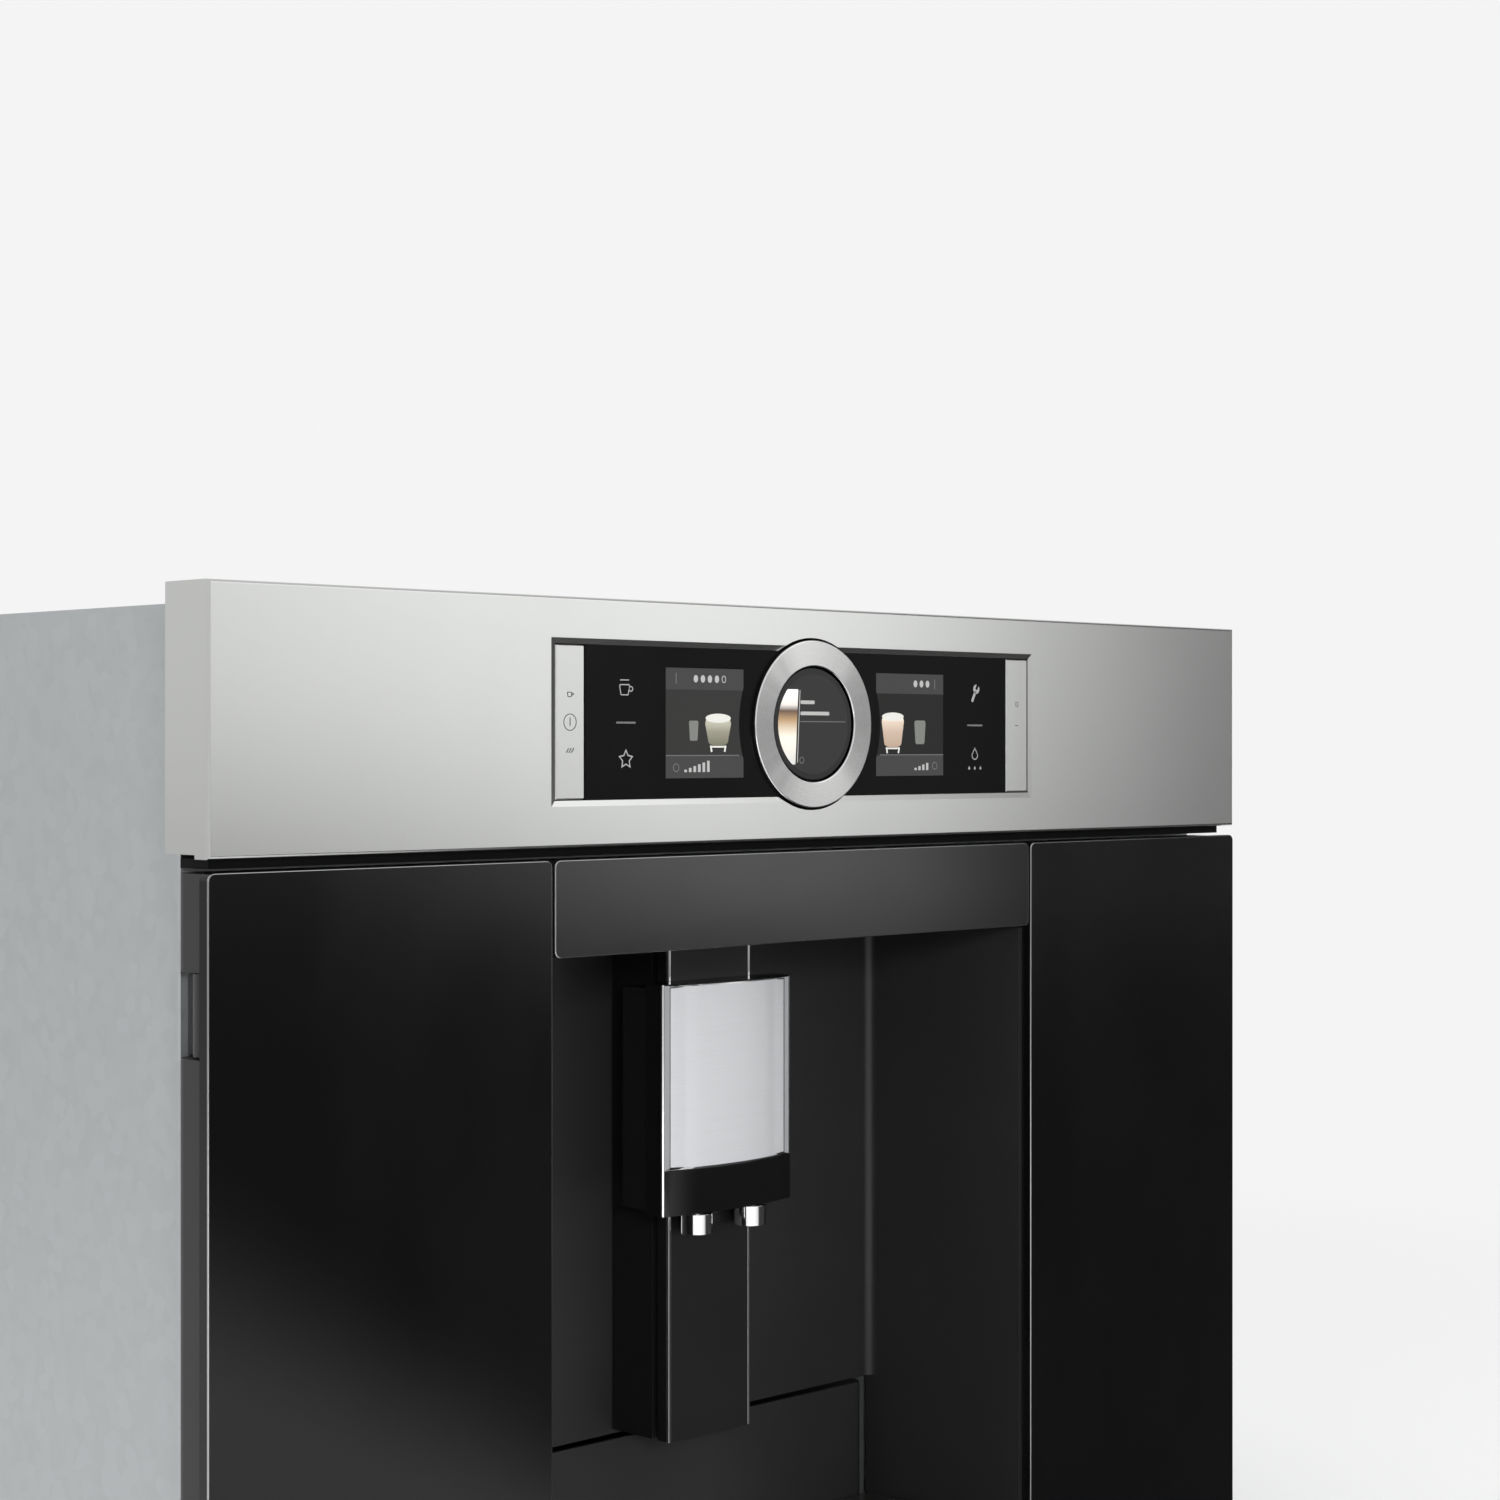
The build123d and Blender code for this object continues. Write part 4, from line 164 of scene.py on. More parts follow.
def start_editing(piece, kind):
    """Deselects all of a piece, and sets whether its points, edges or faces are edited."""
    take(piece)
    bpy.context.tool_settings.mesh_select_mode = [kind == each for each in ("points", "edges", "faces")]
    for elements in (piece.data.vertices, piece.data.edges, piece.data.polygons):
        elements.foreach_set("select", [False] * len(elements))


def edit_faces(piece, chosen):
    """Enters edit mode with the faces selected whose centre and normal pass a test."""
    start_editing(piece, "faces")
    for face in piece.data.polygons:
        face.select = bool(chosen(face.center, face.normal))
    bpy.ops.object.mode_set(mode="EDIT")


def bevel_edges(piece, chosen, width, segments):
    """Rounds the edges whose two ends pass a test."""
    start_editing(piece, "edges")
    points = piece.data.vertices
    for edge in piece.data.edges:
        ends = [points[i] for i in edge.vertices]
        if chosen(*(end.co for end in ends)):
            for selected in (edge, *ends):
                selected.select = True
    bpy.ops.object.mode_set(mode="EDIT")
    bpy.ops.mesh.bevel(offset=width, segments=segments, affect="EDGES")
    calm()
    return piece


def scale_points(piece, chosen, factors, centre=(0, 0, 0)):
    """Scales the points that pass a test about a centre."""
    start_editing(piece, "points")
    for point in piece.data.vertices:
        point.select = bool(chosen(point.co))
    bpy.ops.object.mode_set(mode="EDIT")
    bpy.ops.transform.resize(value=factors, center_override=centre)
    calm()
    return piece


def hollow(piece, wall):
    """Leaves only a wall of a bar along Y: its two ends are inset and bridged through."""
    edit_faces(piece, lambda centre, normal: abs(normal.y) > 0.9)
    bpy.ops.mesh.inset(thickness=wall)
    bpy.ops.mesh.bridge_edge_loops()
    calm()
    return piece


def modify(piece, kind, **settings):
    """Adds a modifier with its settings and applies it."""
    take(piece)
    modifier = piece.modifiers.new(kind.lower(), kind)
    for key, value in settings.items():
        setattr(modifier, key, value)
    bpy.ops.object.modifier_apply(modifier=modifier.name)
    return piece


def carve(piece, cutter, operation="DIFFERENCE"):
    """Cuts one mesh by another; the cutter goes."""
    modify(piece, "BOOLEAN", operation=operation, object=cutter, solver="EXACT")
    take(cutter)
    bpy.ops.object.delete()
    return piece


def soften(piece, width, segments=2, degrees=40):
    """Rounds the edges sharper than a limit."""
    limit = math.radians(degrees)
    return modify(piece, "BEVEL", width=width, segments=segments, limit_method="ANGLE", angle_limit=limit)


def smooth(piece, degrees=32):
    """Smooth shading across angles up to a limit, with the large faces kept flat."""
    take(piece)
    bpy.ops.object.shade_smooth_by_angle(angle=math.radians(degrees))
    return modify(piece, "WEIGHTED_NORMAL", keep_sharp=True)


def rounded_slab(low, high, corner, edge):
    """Plate in the XZ plane with rounded corners and a rounded front edge."""
    piece = slab(low.x, high.x, low.y, high.y, low.z, high.z)
    thickness = high.y - low.y
    bevel_edges(piece, lambda a, b: abs(a.y - b.y) > thickness / 2, corner, 6)
    return bevel_edges(piece, lambda a, b: max(a.y, b.y) < low.y + thickness / 100, edge, 3)


def copy_of_node(node):
    """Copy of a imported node, with its loose triangles merged and its flats made whole."""
    take(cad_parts[node])
    bpy.ops.object.duplicate()
    piece = bpy.context.object
    piece.parent = None
    for key in list(piece.keys()):
        del piece[key]
    take(piece)
    bpy.ops.object.mode_set(mode="EDIT")
    bpy.ops.mesh.select_all(action="SELECT")
    bpy.ops.mesh.remove_doubles(threshold=WELD)
    bpy.ops.mesh.dissolve_limited(angle_limit=FLATNESS)
    take(piece)
    if piece.data.has_custom_normals:
        bpy.ops.mesh.customdata_custom_splitnormals_clear()
    return piece


def joined(pieces):
    """Joins meshes into the first."""
    take(pieces[0])
    for piece in pieces[1:]:
        piece.select_set(True)
    if len(pieces) > 1:
        bpy.ops.object.join()
    return bpy.context.object


def paint(piece, *materials):
    """Gives a piece its materials, by name; the first covers it."""
    piece.data.materials.clear()
    for material in materials:
        piece.data.materials.append(FINISHES[material])
    return piece


def repaint(piece, index, chosen):
    """Gives a later material to the faces whose centre and normal pass a test."""
    for face in piece.data.polygons:
        if chosen(face.center, face.normal):
            face.material_index = index


def mount(piece, name, body, slot, *nodes):
    """Names a finished piece, lets it ride on its body and hides the nodes that it stands for."""
    piece.name = name
    piece.data.name = name
    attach(piece, body)
    if nodes:
        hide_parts(*nodes)


# -------------------- shared effects


def feed(tree, socket, value):
    """Links an input to a socket, or sets its plain value."""
    if isinstance(value, bpy.types.NodeSocket):
        tree.links.new(value, socket)
    elif value is not None:
        socket.default_value = value


def add_node(tree, kind, feeds=None, **settings):
    """New node with its properties set, and its inputs fed by sockets or plain values."""
    node = tree.nodes.new(kind)
    for key, value in settings.items():
        setattr(node, key, value)
    for key, value in (feeds or {}).items():
        feed(tree, node.inputs[key], value)
    return node


def math_node(tree, operation, first, second=None):
    """Math node fed by sockets or numbers; its output is returned."""
    return add_node(tree, "ShaderNodeMath", {0: first, 1: second}, operation=operation).outputs[0]


def total(tree, first, second):
    """Sum of two sockets or numbers."""
    return math_node(tree, "ADD", first, second)


def product(tree, first, second):
    """Product of two sockets or numbers."""
    return math_node(tree, "MULTIPLY", first, second)


def ramp_node(tree, value, low, high, to_low=0.0, to_high=1.0, kind="SMOOTHSTEP"):
    """Map Range node from one pair of numbers to another; its output is returned."""
    feeds = {"Value": value, "From Min": low, "From Max": high, "To Min": to_low, "To Max": to_high}
    return add_node(tree, "ShaderNodeMapRange", feeds, interpolation_type=kind).outputs["Result"]


def noise_node(tree, vector, scale, detail=2.0, roughness=0.5):
    """Noise texture on a vector; its value output is returned."""
    feeds = {"Vector": vector, "Scale": scale, "Detail": detail, "Roughness": roughness}
    return add_node(tree, "ShaderNodeTexNoise", feeds).outputs["Fac"]


def line_noise(tree, value, scale, detail=2.0):
    """Noise along one number; its value output is returned."""
    feeds = {"W": value, "Scale": scale, "Detail": detail}
    return add_node(tree, "ShaderNodeTexNoise", feeds, noise_dimensions="1D").outputs["Fac"]


def object_place(tree, scale=(1, 1, 1), shift=(0, 0, 0), turn=(0, 0, 0)):
    """Object coordinates stretched, shifted and turned; the vector output is returned."""
    place = add_node(tree, "ShaderNodeTexCoord").outputs["Object"]
    feeds = {"Vector": place, "Location": shift, "Rotation": turn, "Scale": scale}
    return add_node(tree, "ShaderNodeMapping", feeds).outputs["Vector"]


def axes(tree, vector):
    """The X, Y and Z outputs of a vector."""
    return list(add_node(tree, "ShaderNodeSeparateXYZ", {"Vector": vector}).outputs)


def new_group(name, label, value, *outputs):
    """Shader node group with one number as its input; the group and that input are returned."""
    group = bpy.data.node_groups.new(name, "ShaderNodeTree")
    given = group.interface.new_socket(label, in_out="INPUT", socket_type="NodeSocketFloat")
    given.default_value = value
    for output in outputs:
        group.interface.new_socket(output, in_out="OUTPUT", socket_type="NodeSocketFloat")
    return group, add_node(group, "NodeGroupInput").outputs[label]


def put_out(group, **values):
    """Feeds the outputs of a group and returns it."""
    add_node(group, "NodeGroupOutput", values)
    return group


def brushed_grain():
    """Fine brushing along X, with a few longer strokes."""
    group, strength = new_group("brushed grain", "Strength", 1.0, "Tone", "Height")
    fine = noise_node(group, object_place(group, (18, 900, 5200)), 1.0)
    long = noise_node(group, object_place(group, (5, 300, 1500)), 1.0, 1.0)
    both = total(group, product(group, fine, 0.65), product(group, long, 0.35))
    height = product(group, total(group, both, -0.5), strength)
    return put_out(group, Tone=total(group, height, 0.5), Height=height)


def turned_grain_and_painted_highlight():
    """Fine circles about the dial's axis, as a lathe leaves them, and a painted highlight: a mask in wedge
    shapes, high at the top and bottom and low at the sides, where the spun face's reflections fall.
    """
    group, strength = new_group("turned grain and painted highlight", "Strength", 1.0, "Tone", "Height", "Wedges")
    across, _, up = axes(group, object_place(group, shift=(0, 0, -DIAL_Z)))
    radius = math_node(group, "SQRT", total(group, product(group, across, across), product(group, up, up)))
    circles = line_noise(group, radius, 5200)
    height = product(group, total(group, circles, -0.5), strength)
    angle = math_node(group, "ARCTAN2", up, across)
    patches = line_noise(group, math_node(group, "ABSOLUTE", angle), 1.6, 3.0)
    double = math_node(group, "COSINE", product(group, angle, 2.0))
    painted_highlight_wedges = ramp_node(group, total(group, patches, product(group, double, -0.5)), 0.0, 1.0)
    return put_out(group, Tone=total(group, height, 0.5), Height=height, Wedges=painted_highlight_wedges)


def moulded_grain():
    """Fine spark-eroded grain of moulded plastic and its slow change of sheen."""
    group, scale = new_group("moulded grain", "Scale", 2600.0, "Height", "Sheen")
    place = object_place(group)
    return put_out(group, Height=noise_node(group, place, scale), Sheen=noise_node(group, place, 14.0, 3.0))


def hand_smears():
    """Faint smears of handling on glossy faces."""
    group, amount = new_group("hand smears", "Amount", 1.0, "Smear")
    broad = noise_node(group, object_place(group, (9, 9, 5)), 1.0, 4.0, 0.6)
    return put_out(group, Smear=product(group, ramp_node(group, broad, 0.42, 0.75), amount))


def zinc_spangle():
    """Crystal pattern of galvanised sheet."""
    group, scale = new_group("zinc spangle", "Scale", 90.0, "Tone", "Stain")
    place = object_place(group)
    crystals = add_node(group, "ShaderNodeTexVoronoi", {"Vector": place, "Scale": scale})
    split = add_node(group, "ShaderNodeSeparateColor", {"Color": crystals.outputs["Color"]})
    return put_out(group, Tone=split.outputs["Red"], Stain=noise_node(group, place, 7.0, 4.0))


def settled_dust():
    """Mask of thin dust on faces that look up."""
    group, amount = new_group("settled dust", "Amount", 0.3, "Dust")
    normal = add_node(group, "ShaderNodeNewGeometry").outputs["Normal"]
    upward = ramp_node(group, axes(group, normal)[2], 0.5, 1.0)
    patches = ramp_node(group, noise_node(group, object_place(group), 22.0, 5.0, 0.65), 0.35, 0.75)
    return put_out(group, Dust=product(group, product(group, upward, patches), amount))


EFFECTS = {}


def place_effect(tree, maker, value=1.0):
    """Places a shared effect, built the first time that it is asked for; its outputs are returned."""
    if maker not in EFFECTS:
        EFFECTS[maker] = maker()
    node = add_node(tree, "ShaderNodeGroup", node_tree=EFFECTS[maker])
    node.inputs[0].default_value = value
    return node.outputs


# -------------------- materials

FINISHES = {}


def finish(name, colour, roughness, metallic=0.0, **values):
    """Material whose plain values are set on its shader; its node tree and shader are returned."""
    material = FINISHES[name] = bpy.data.materials.new(name)
    material.use_nodes = True
    shader = material.node_tree.nodes["Principled BSDF"]
    values.update(Base_Color=(*colour, 1), Roughness=roughness, Metallic=metallic)
    for label, value in values.items():
        shader.inputs[label.replace("_", " ")].default_value = value
    return material.node_tree, shader


def tinted(colour, factor):
    """A colour made lighter or darker."""
    return tuple(min(1.0, channel * factor) for channel in colour)


def mix_colours(tree, shader, mask, below, above):
    """Base colour mixed from two by a mask; the mixed colour is returned."""
    feeds = {"Factor": mask, "A": below, "B": above}
    mixed = add_node(tree, "ShaderNodeMix", feeds, data_type="RGBA").outputs["Result"]
    feed(tree, shader.inputs["Base Color"], mixed)
    return mixed


def vary_colour(tree, shader, mask, colour, dark, light):
    """Base colour between a darker and a lighter tone of a colour, by a mask."""
    return mix_colours(tree, shader, mask, (*tinted(colour, dark), 1), (*tinted(colour, light), 1))


def vary_roughness(tree, shader, mask, low, high):
    """Roughness between two values, by a mask."""
    feed(tree, shader.inputs["Roughness"], ramp_node(tree, mask, 0.0, 1.0, low, high, "LINEAR"))


def emboss(tree, shader, height, strength, distance):
    """Bump from a height, in metres at full strength."""
    bump = add_node(tree, "ShaderNodeBump", {"Strength": strength, "Distance": distance, "Height": height})
    feed(tree, shader.inputs["Normal"], bump.outputs["Normal"])


def add_dust(tree, shader, below, amount):
    """Pale dust over a base colour."""
    dust = place_effect(tree, settled_dust, amount)["Dust"]
    mix_colours(tree, shader, dust, below, (0.42, 0.41, 0.39, 1))


def brushed_metal(name, colour, roughness, strength=1.0, metallic=1.0):
    """Stainless sheet, brushed along X."""
    tree, shader = finish(name, colour, roughness, metallic)
    grain = place_effect(tree, brushed_grain, strength)
    smear = place_effect(tree, hand_smears)["Smear"]
    vary_colour(tree, shader, grain["Tone"], colour, 0.95, 1.05)
    sheen = total(tree, grain["Tone"], product(tree, smear, 0.2))
    vary_roughness(tree, shader, sheen, roughness - 0.04, roughness + 0.04)
    emboss(tree, shader, grain["Height"], 0.07, 0.04 * MM)


def spun_metal(name, colour):
    """Turned face of the control ring."""
    tree, shader = finish(name, colour, 0.26, 1.0, Anisotropic=0.6, Anisotropic_Rotation=0.25)
    grain = place_effect(tree, turned_grain_and_painted_highlight)
    # painted highlight: the base colour is lighter in wedge shapes at the top and bottom and darker at the
    # sides, where the spun face's reflections fall
    vary_colour(tree, shader, grain["Wedges"], colour, 0.54, 0.94)
    vary_roughness(tree, shader, grain["Tone"], 0.20, 0.32)
    emboss(tree, shader, grain["Height"], 0.06, 0.04 * MM)
    circling = add_node(tree, "ShaderNodeTangent", direction_type="RADIAL", axis="Y")
    feed(tree, shader.inputs["Tangent"], circling.outputs["Tangent"])


def polished_metal(name, colour, roughness):
    """Chrome and other polished metal, with faint handling marks."""
    tree, shader = finish(name, colour, roughness, 1.0)
    vary_roughness(tree, shader, place_effect(tree, hand_smears)["Smear"], roughness, roughness + 0.08)


def backed_glass(name, colour, specular, roughness=0.035):
    """Black-backed glass with smears that only a low light shows."""
    tree, shader = finish(name, colour, roughness, Specular_IOR_Level=specular)
    smear = place_effect(tree, hand_smears)["Smear"]
    vary_colour(tree, shader, smear, colour, 1.0, 1.5)
    vary_roughness(tree, shader, smear, roughness, roughness + 0.06)


def moulded_plastic(name, colour, roughness, scale=2600.0, depth=0.06, dust=0.0, specular=0.5):
    """Moulded plastic with its fine grain; the depth of the grain is in millimetres."""
    tree, shader = finish(name, colour, roughness, Specular_IOR_Level=specular)
    grain = place_effect(tree, moulded_grain, scale)
    plain = vary_colour(tree, shader, grain["Sheen"], colour, 0.85, 1.15)
    vary_roughness(tree, shader, grain["Sheen"], roughness - 0.07, roughness + 0.07)
    emboss(tree, shader, grain["Height"], 0.25, depth * MM)
    if dust:
        add_dust(tree, shader, plain, dust)


def galvanised_sheet(name, colour):
    """Galvanised sheet with its spangle, stains and a little dust."""
    tree, shader = finish(name, colour, 0.4, 0.85)
    zinc = place_effect(tree, zinc_spangle, 170.0)
    tone = total(tree, product(tree, zinc["Tone"], 0.55), product(tree, zinc["Stain"], 0.45))
    plain = vary_colour(tree, shader, tone, colour, 0.93, 1.06)
    vary_roughness(tree, shader, tone, 0.38, 0.48)
    add_dust(tree, shader, plain, 0.25)


def clear_plastic(name, colour, roughness=0.06):
    """Clear moulded plastic, lightly smoked."""
    tree, shader = finish(name, colour, roughness, Transmission_Weight=0.92, IOR=1.49)
    vary_roughness(tree, shader, place_effect(tree, hand_smears)["Smear"], roughness, roughness + 0.1)


def lit_print(name, colour, glow, roughness=0.25):
    """Printed or lit mark, evenly coloured apart from its grain."""
    tree, shader = finish(
        name, colour, roughness, Specular_IOR_Level=0.05, Emission_Strength=glow,
        Emission_Color=(*colour, 1))
    vary_colour(tree, shader, place_effect(tree, moulded_grain, 5200.0)["Height"], colour, 0.93, 1.07)


def layered_picture(name, low, high, glow, *layers):
    """Picture whose colour changes with height: each layer is a share of the height and a colour."""
    tree, shader = finish(name, layers[0][1], 0.3, Specular_IOR_Level=0.05, Emission_Strength=glow)
    share = ramp_node(tree, axes(tree, object_place(tree))[2], low, high, kind="LINEAR")
    colours = add_node(tree, "ShaderNodeValToRGB", {"Fac": share})
    stops = colours.color_ramp.elements
    for stop, (position, colour) in zip(stops, (layers[0], layers[-1])):
        stop.position, stop.color = position, (*colour, 1)
    for position, colour in layers[1:-1]:
        stops.new(position).color = (*colour, 1)
    for label in ("Base Color", "Emission Color"):
        feed(tree, shader.inputs[label], colours.outputs["Color"])


def circuit_board(name):
    """Solder mask with faint copper tracks below it."""
    mask = (0.012, 0.10, 0.035)
    tree, shader = finish(name, mask, 0.3)
    tracks = add_node(tree, "ShaderNodeTexBrick", {
        "Vector": object_place(tree, turn=(math.pi / 2, 0, 0)), "Scale": 60.0, "Mortar Size": 0.03,
        "Color1": (*mask, 1), "Color2": (0.016, 0.12, 0.045, 1), "Mortar": (0.03, 0.17, 0.06, 1)})
    feed(tree, shader.inputs["Base Color"], tracks.outputs["Color"])


def make_finishes(colours):
    """Builds every material of the machine."""
    brushed_metal("brushed stainless", colours.stainless, 0.22, 0.4)
    brushed_metal("key stainless", tinted(colours.stainless, 1.04), 0.26, 0.4)
    brushed_metal("outlet stainless", (0.66, 0.67, 0.69), 0.42, 1.6, 0.35)
    brushed_metal("outlet rim", (0.40, 0.41, 0.42), 0.35, 1.0, 0.35)
    brushed_metal("ground steel", (0.50, 0.50, 0.49), 0.32)
    brushed_metal("cast aluminium", (0.60, 0.60, 0.59), 0.5, 0.4)
    spun_metal("spun ring", colours.spun_metal)
    polished_metal("polished edge", (0.86, 0.86, 0.86), 0.12)
    polished_metal("chrome", (0.80, 0.80, 0.81), 0.06)
    polished_metal("pane edge", (0.42, 0.42, 0.42), 0.16)
    backed_glass("door pane", colours.pane, 0.34)
    backed_glass("header pane", tinted(colours.pane, 2.0), 0.55, 0.07)
    backed_glass("control pane", (0.0040, 0.0043, 0.0040), 0.03)
    backed_glass("lens", (0.0040, 0.0040, 0.0042), 0.25)
    moulded_plastic("moulded black", colours.moulding, 0.42, depth=0.05, dust=0.04)
    moulded_plastic("carriage black", tinted(colours.moulding, 0.35), 0.38, depth=0.05)
    moulded_plastic("matt black and groove shade", (0.003, 0.003, 0.003), 0.6, depth=0.05, specular=0.12)
    moulded_plastic("gloss black", (0.004, 0.004, 0.0045), 0.14, 900.0, 0.01)
    moulded_plastic("grey moulding", colours.grey_moulding, 0.45)
    moulded_plastic("piston moulding", (0.32, 0.27, 0.20), 0.45)
    moulded_plastic("float red", (0.46, 0.02, 0.012), 0.3)
    moulded_plastic("silicone", (0.56, 0.57, 0.56), 0.4, 700.0)
    moulded_plastic("dark enamel", (0.03, 0.03, 0.032), 0.35, 1200.0, 0.04)
    galvanised_sheet("galvanised", colours.zinc)
    clear_plastic("smoked clear", (0.84, 0.86, 0.88))
    circuit_board("solder mask")
    lit_print("symbol print", colours.symbol, 0.30)
    lit_print("faint print", tinted(colours.symbol, 0.45), 0.25)
    lit_print("key print", (0.07, 0.07, 0.07), 0.0, 0.4)
    lit_print("left screen grey", (0.021, 0.0206, 0.0202), 0.75)
    lit_print("right screen grey", (0.013, 0.0128, 0.0126), 0.75)
    lit_print("dial screen grey", (0.022, 0.022, 0.022), 0.7)
    lit_print("screen bar", (0.033, 0.032, 0.0325), 0.8)
    lit_print("screen line", (0.09, 0.09, 0.09), 0.8)
    lit_print("screen text", (0.26, 0.26, 0.255), 0.75)
    lit_print("picture foam", (0.46, 0.46, 0.43), 0.55)
    lit_print("picture glass", (0.13, 0.135, 0.125), 0.5)
    foot, brim = DIAL_Z - 9.5 * MM, DIAL_Z + 3.0 * MM
    layered_picture(
        "picture drink", foot, brim, 0.5,
        (0.0, (0.11, 0.11, 0.08)), (0.5, (0.20, 0.19, 0.15)), (0.8, (0.33, 0.32, 0.26)),
        (1.0, (0.50, 0.50, 0.46)))
    layered_picture(
        "picture drink warm", foot, brim, 0.55,
        (0.0, (0.30, 0.22, 0.17)), (0.5, (0.36, 0.28, 0.22)), (0.85, (0.46, 0.38, 0.31)),
        (1.0, (0.60, 0.56, 0.50)))
    layered_picture(
        "picture layers", DIAL_Z - 17 * MM, DIAL_Z + 15 * MM, 0.6,
        (0.0, (0.42, 0.42, 0.41)), (0.36, (0.58, 0.54, 0.47)), (0.58, (0.30, 0.20, 0.11)),
        (0.70, (0.09, 0.06, 0.045)), (0.78, (0.50, 0.48, 0.45)), (1.0, (0.62, 0.62, 0.61)))


NODE_FINISHES = {
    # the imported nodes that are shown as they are
    "brushed stainless": ["fascia_panel"],
    "ground steel": ["fixed_burr", "grinding_burr"],
    "control pane": ["control_glass", "left_screen", "right_screen"],
    "moulded black": ["door_back_cover", "grounds_chute", "power_inlet"],
    "matt black and groove shade": ["display_carrier"],
    "grey moulding": ["brew_cradle", "brew_drive", "tank_seat"],
    "galvanised": [
        "base_pan", "left_side_panel", "right_side_panel", "rear_panel", "top_cover", "front_frame",
        "partitions", "inner_shelves",
    ],
    "dark enamel": ["grinder_motor", "water_pump", "catch_magnets", "hinge_brackets"],
    "cast aluminium": ["thermoblock"],
    "solder mask": ["display_board", "power_board"],
    "silicone": ["water_hoses"],
    "piston moulding": ["brew_piston"],
}


class COFFEE_OT_finishes(bpy.types.Operator):
    """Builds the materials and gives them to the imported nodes"""

    bl_idname = "coffee.finishes"
    bl_label = "Finishes"

    def execute(self, context):
        make_finishes(context.scene.machine_finishes)
        for material, nodes in NODE_FINISHES.items():
            for node in nodes:
                paint(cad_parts[node], material)
        return {"FINISHED"}


# -------------------- door panes


def door_pane(node, material, sizes):
    """Glass pane with rounded corners and a ground edge."""
    low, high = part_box(node)
    piece = rounded_slab(low, high, sizes.pane_corner, sizes.pane_edge)
    paint(piece, material, "pane edge")
    # the ground edge shows at the sides and below; on top the pane's black is kept, painted shade in place
    # of the lit ground edge there
    repaint(piece, 1, lambda centre, normal: 0.02 < abs(normal.y) < 0.995 and normal.z < 0.6)
    mount(smooth(piece), node.replace("glass", "pane"), "door", "black_glass", node)


class COFFEE_OT_door_panes(bpy.types.Operator):
    """Makes the three glass panes of the door"""

    bl_idname = "coffee.door_panes"
    bl_label = "Door panes"

    def execute(self, context):
        sizes = context.scene.machine_sizes
        door_pane("left_door_glass", "door pane", sizes)
        door_pane("right_door_glass", "door pane", sizes)
        door_pane("header_glass", "header pane", sizes)
        return {"FINISHED"}


# -------------------- control ring and lens

LENS_GAP = 0.6 * MM             # between the lens and the ring
LENS_DEPTH = 4 * MM
LENS_STEM = 20 * MM
HUB_OUTER, HUB_BORE = 27.5 * MM, 24.5 * MM
HAIR = 0.01 * MM                # less than any step in a shape


def tube(radius, bore, y0, y1, sides=160):
    """Ring about the dial's axis."""
    return hollow(barrel(0, DIAL_Z, radius, y0, y1, sides), radius - bore)


def ring_distance(point):
    """Distance of a point from the dial's axis."""
    return math.hypot(point.x, point.z - DIAL_Z)


def make_ring(sizes):
    """Control ring with its turned face, polished edges and hub."""
    ring = tube(RING_HIGH.x, LENS_HIGH.x + LENS_GAP, RING_LOW.y, FACE)
    front = RING_LOW.y + HAIR
    bevel_edges(
        ring, lambda a, b: max(a.y, b.y) < front and abs(ring_distance(a) - ring_distance(b)) < HAIR,
        sizes.dial_edge, 4)
    ring = joined([ring, tube(HUB_OUTER, HUB_BORE, FACE, RING_HIGH.y, 96)])
    paint(ring, "spun ring", "polished edge")
    # all but the flat front is polished
    repaint(ring, 1, lambda centre, normal: normal.y > -0.985)
    mount(smooth(ring, 40), "turned_control_ring", "ring", "spun_ring", "control_ring")


def make_lens():
    """Lens with a rounded edge over the round display."""
    back = LENS_LOW.y + LENS_DEPTH
    lens = barrel(0, DIAL_Z, LENS_HIGH.x, LENS_LOW.y, back, 160)
    front = LENS_LOW.y + HAIR
    bevel_edges(lens, lambda a, b: max(a.y, b.y) < front, 0.5 * MM, 3)
    lens = joined([lens, barrel(0, DIAL_Z, LENS_STEM, back, LENS_HIGH.y)])
    mount(smooth(paint(lens, "lens"), 40), "display_lens", "housing", "screen", "centre_display")


class COFFEE_OT_control_ring(bpy.types.Operator):
    """Makes the rotary control ring and the lens inside it"""

    bl_idname = "coffee.control_ring"
    bl_label = "Control ring"

    def execute(self, context):
        make_ring(context.scene.machine_sizes)
        make_lens()
        return {"FINISHED"}


# -------------------- flat prints


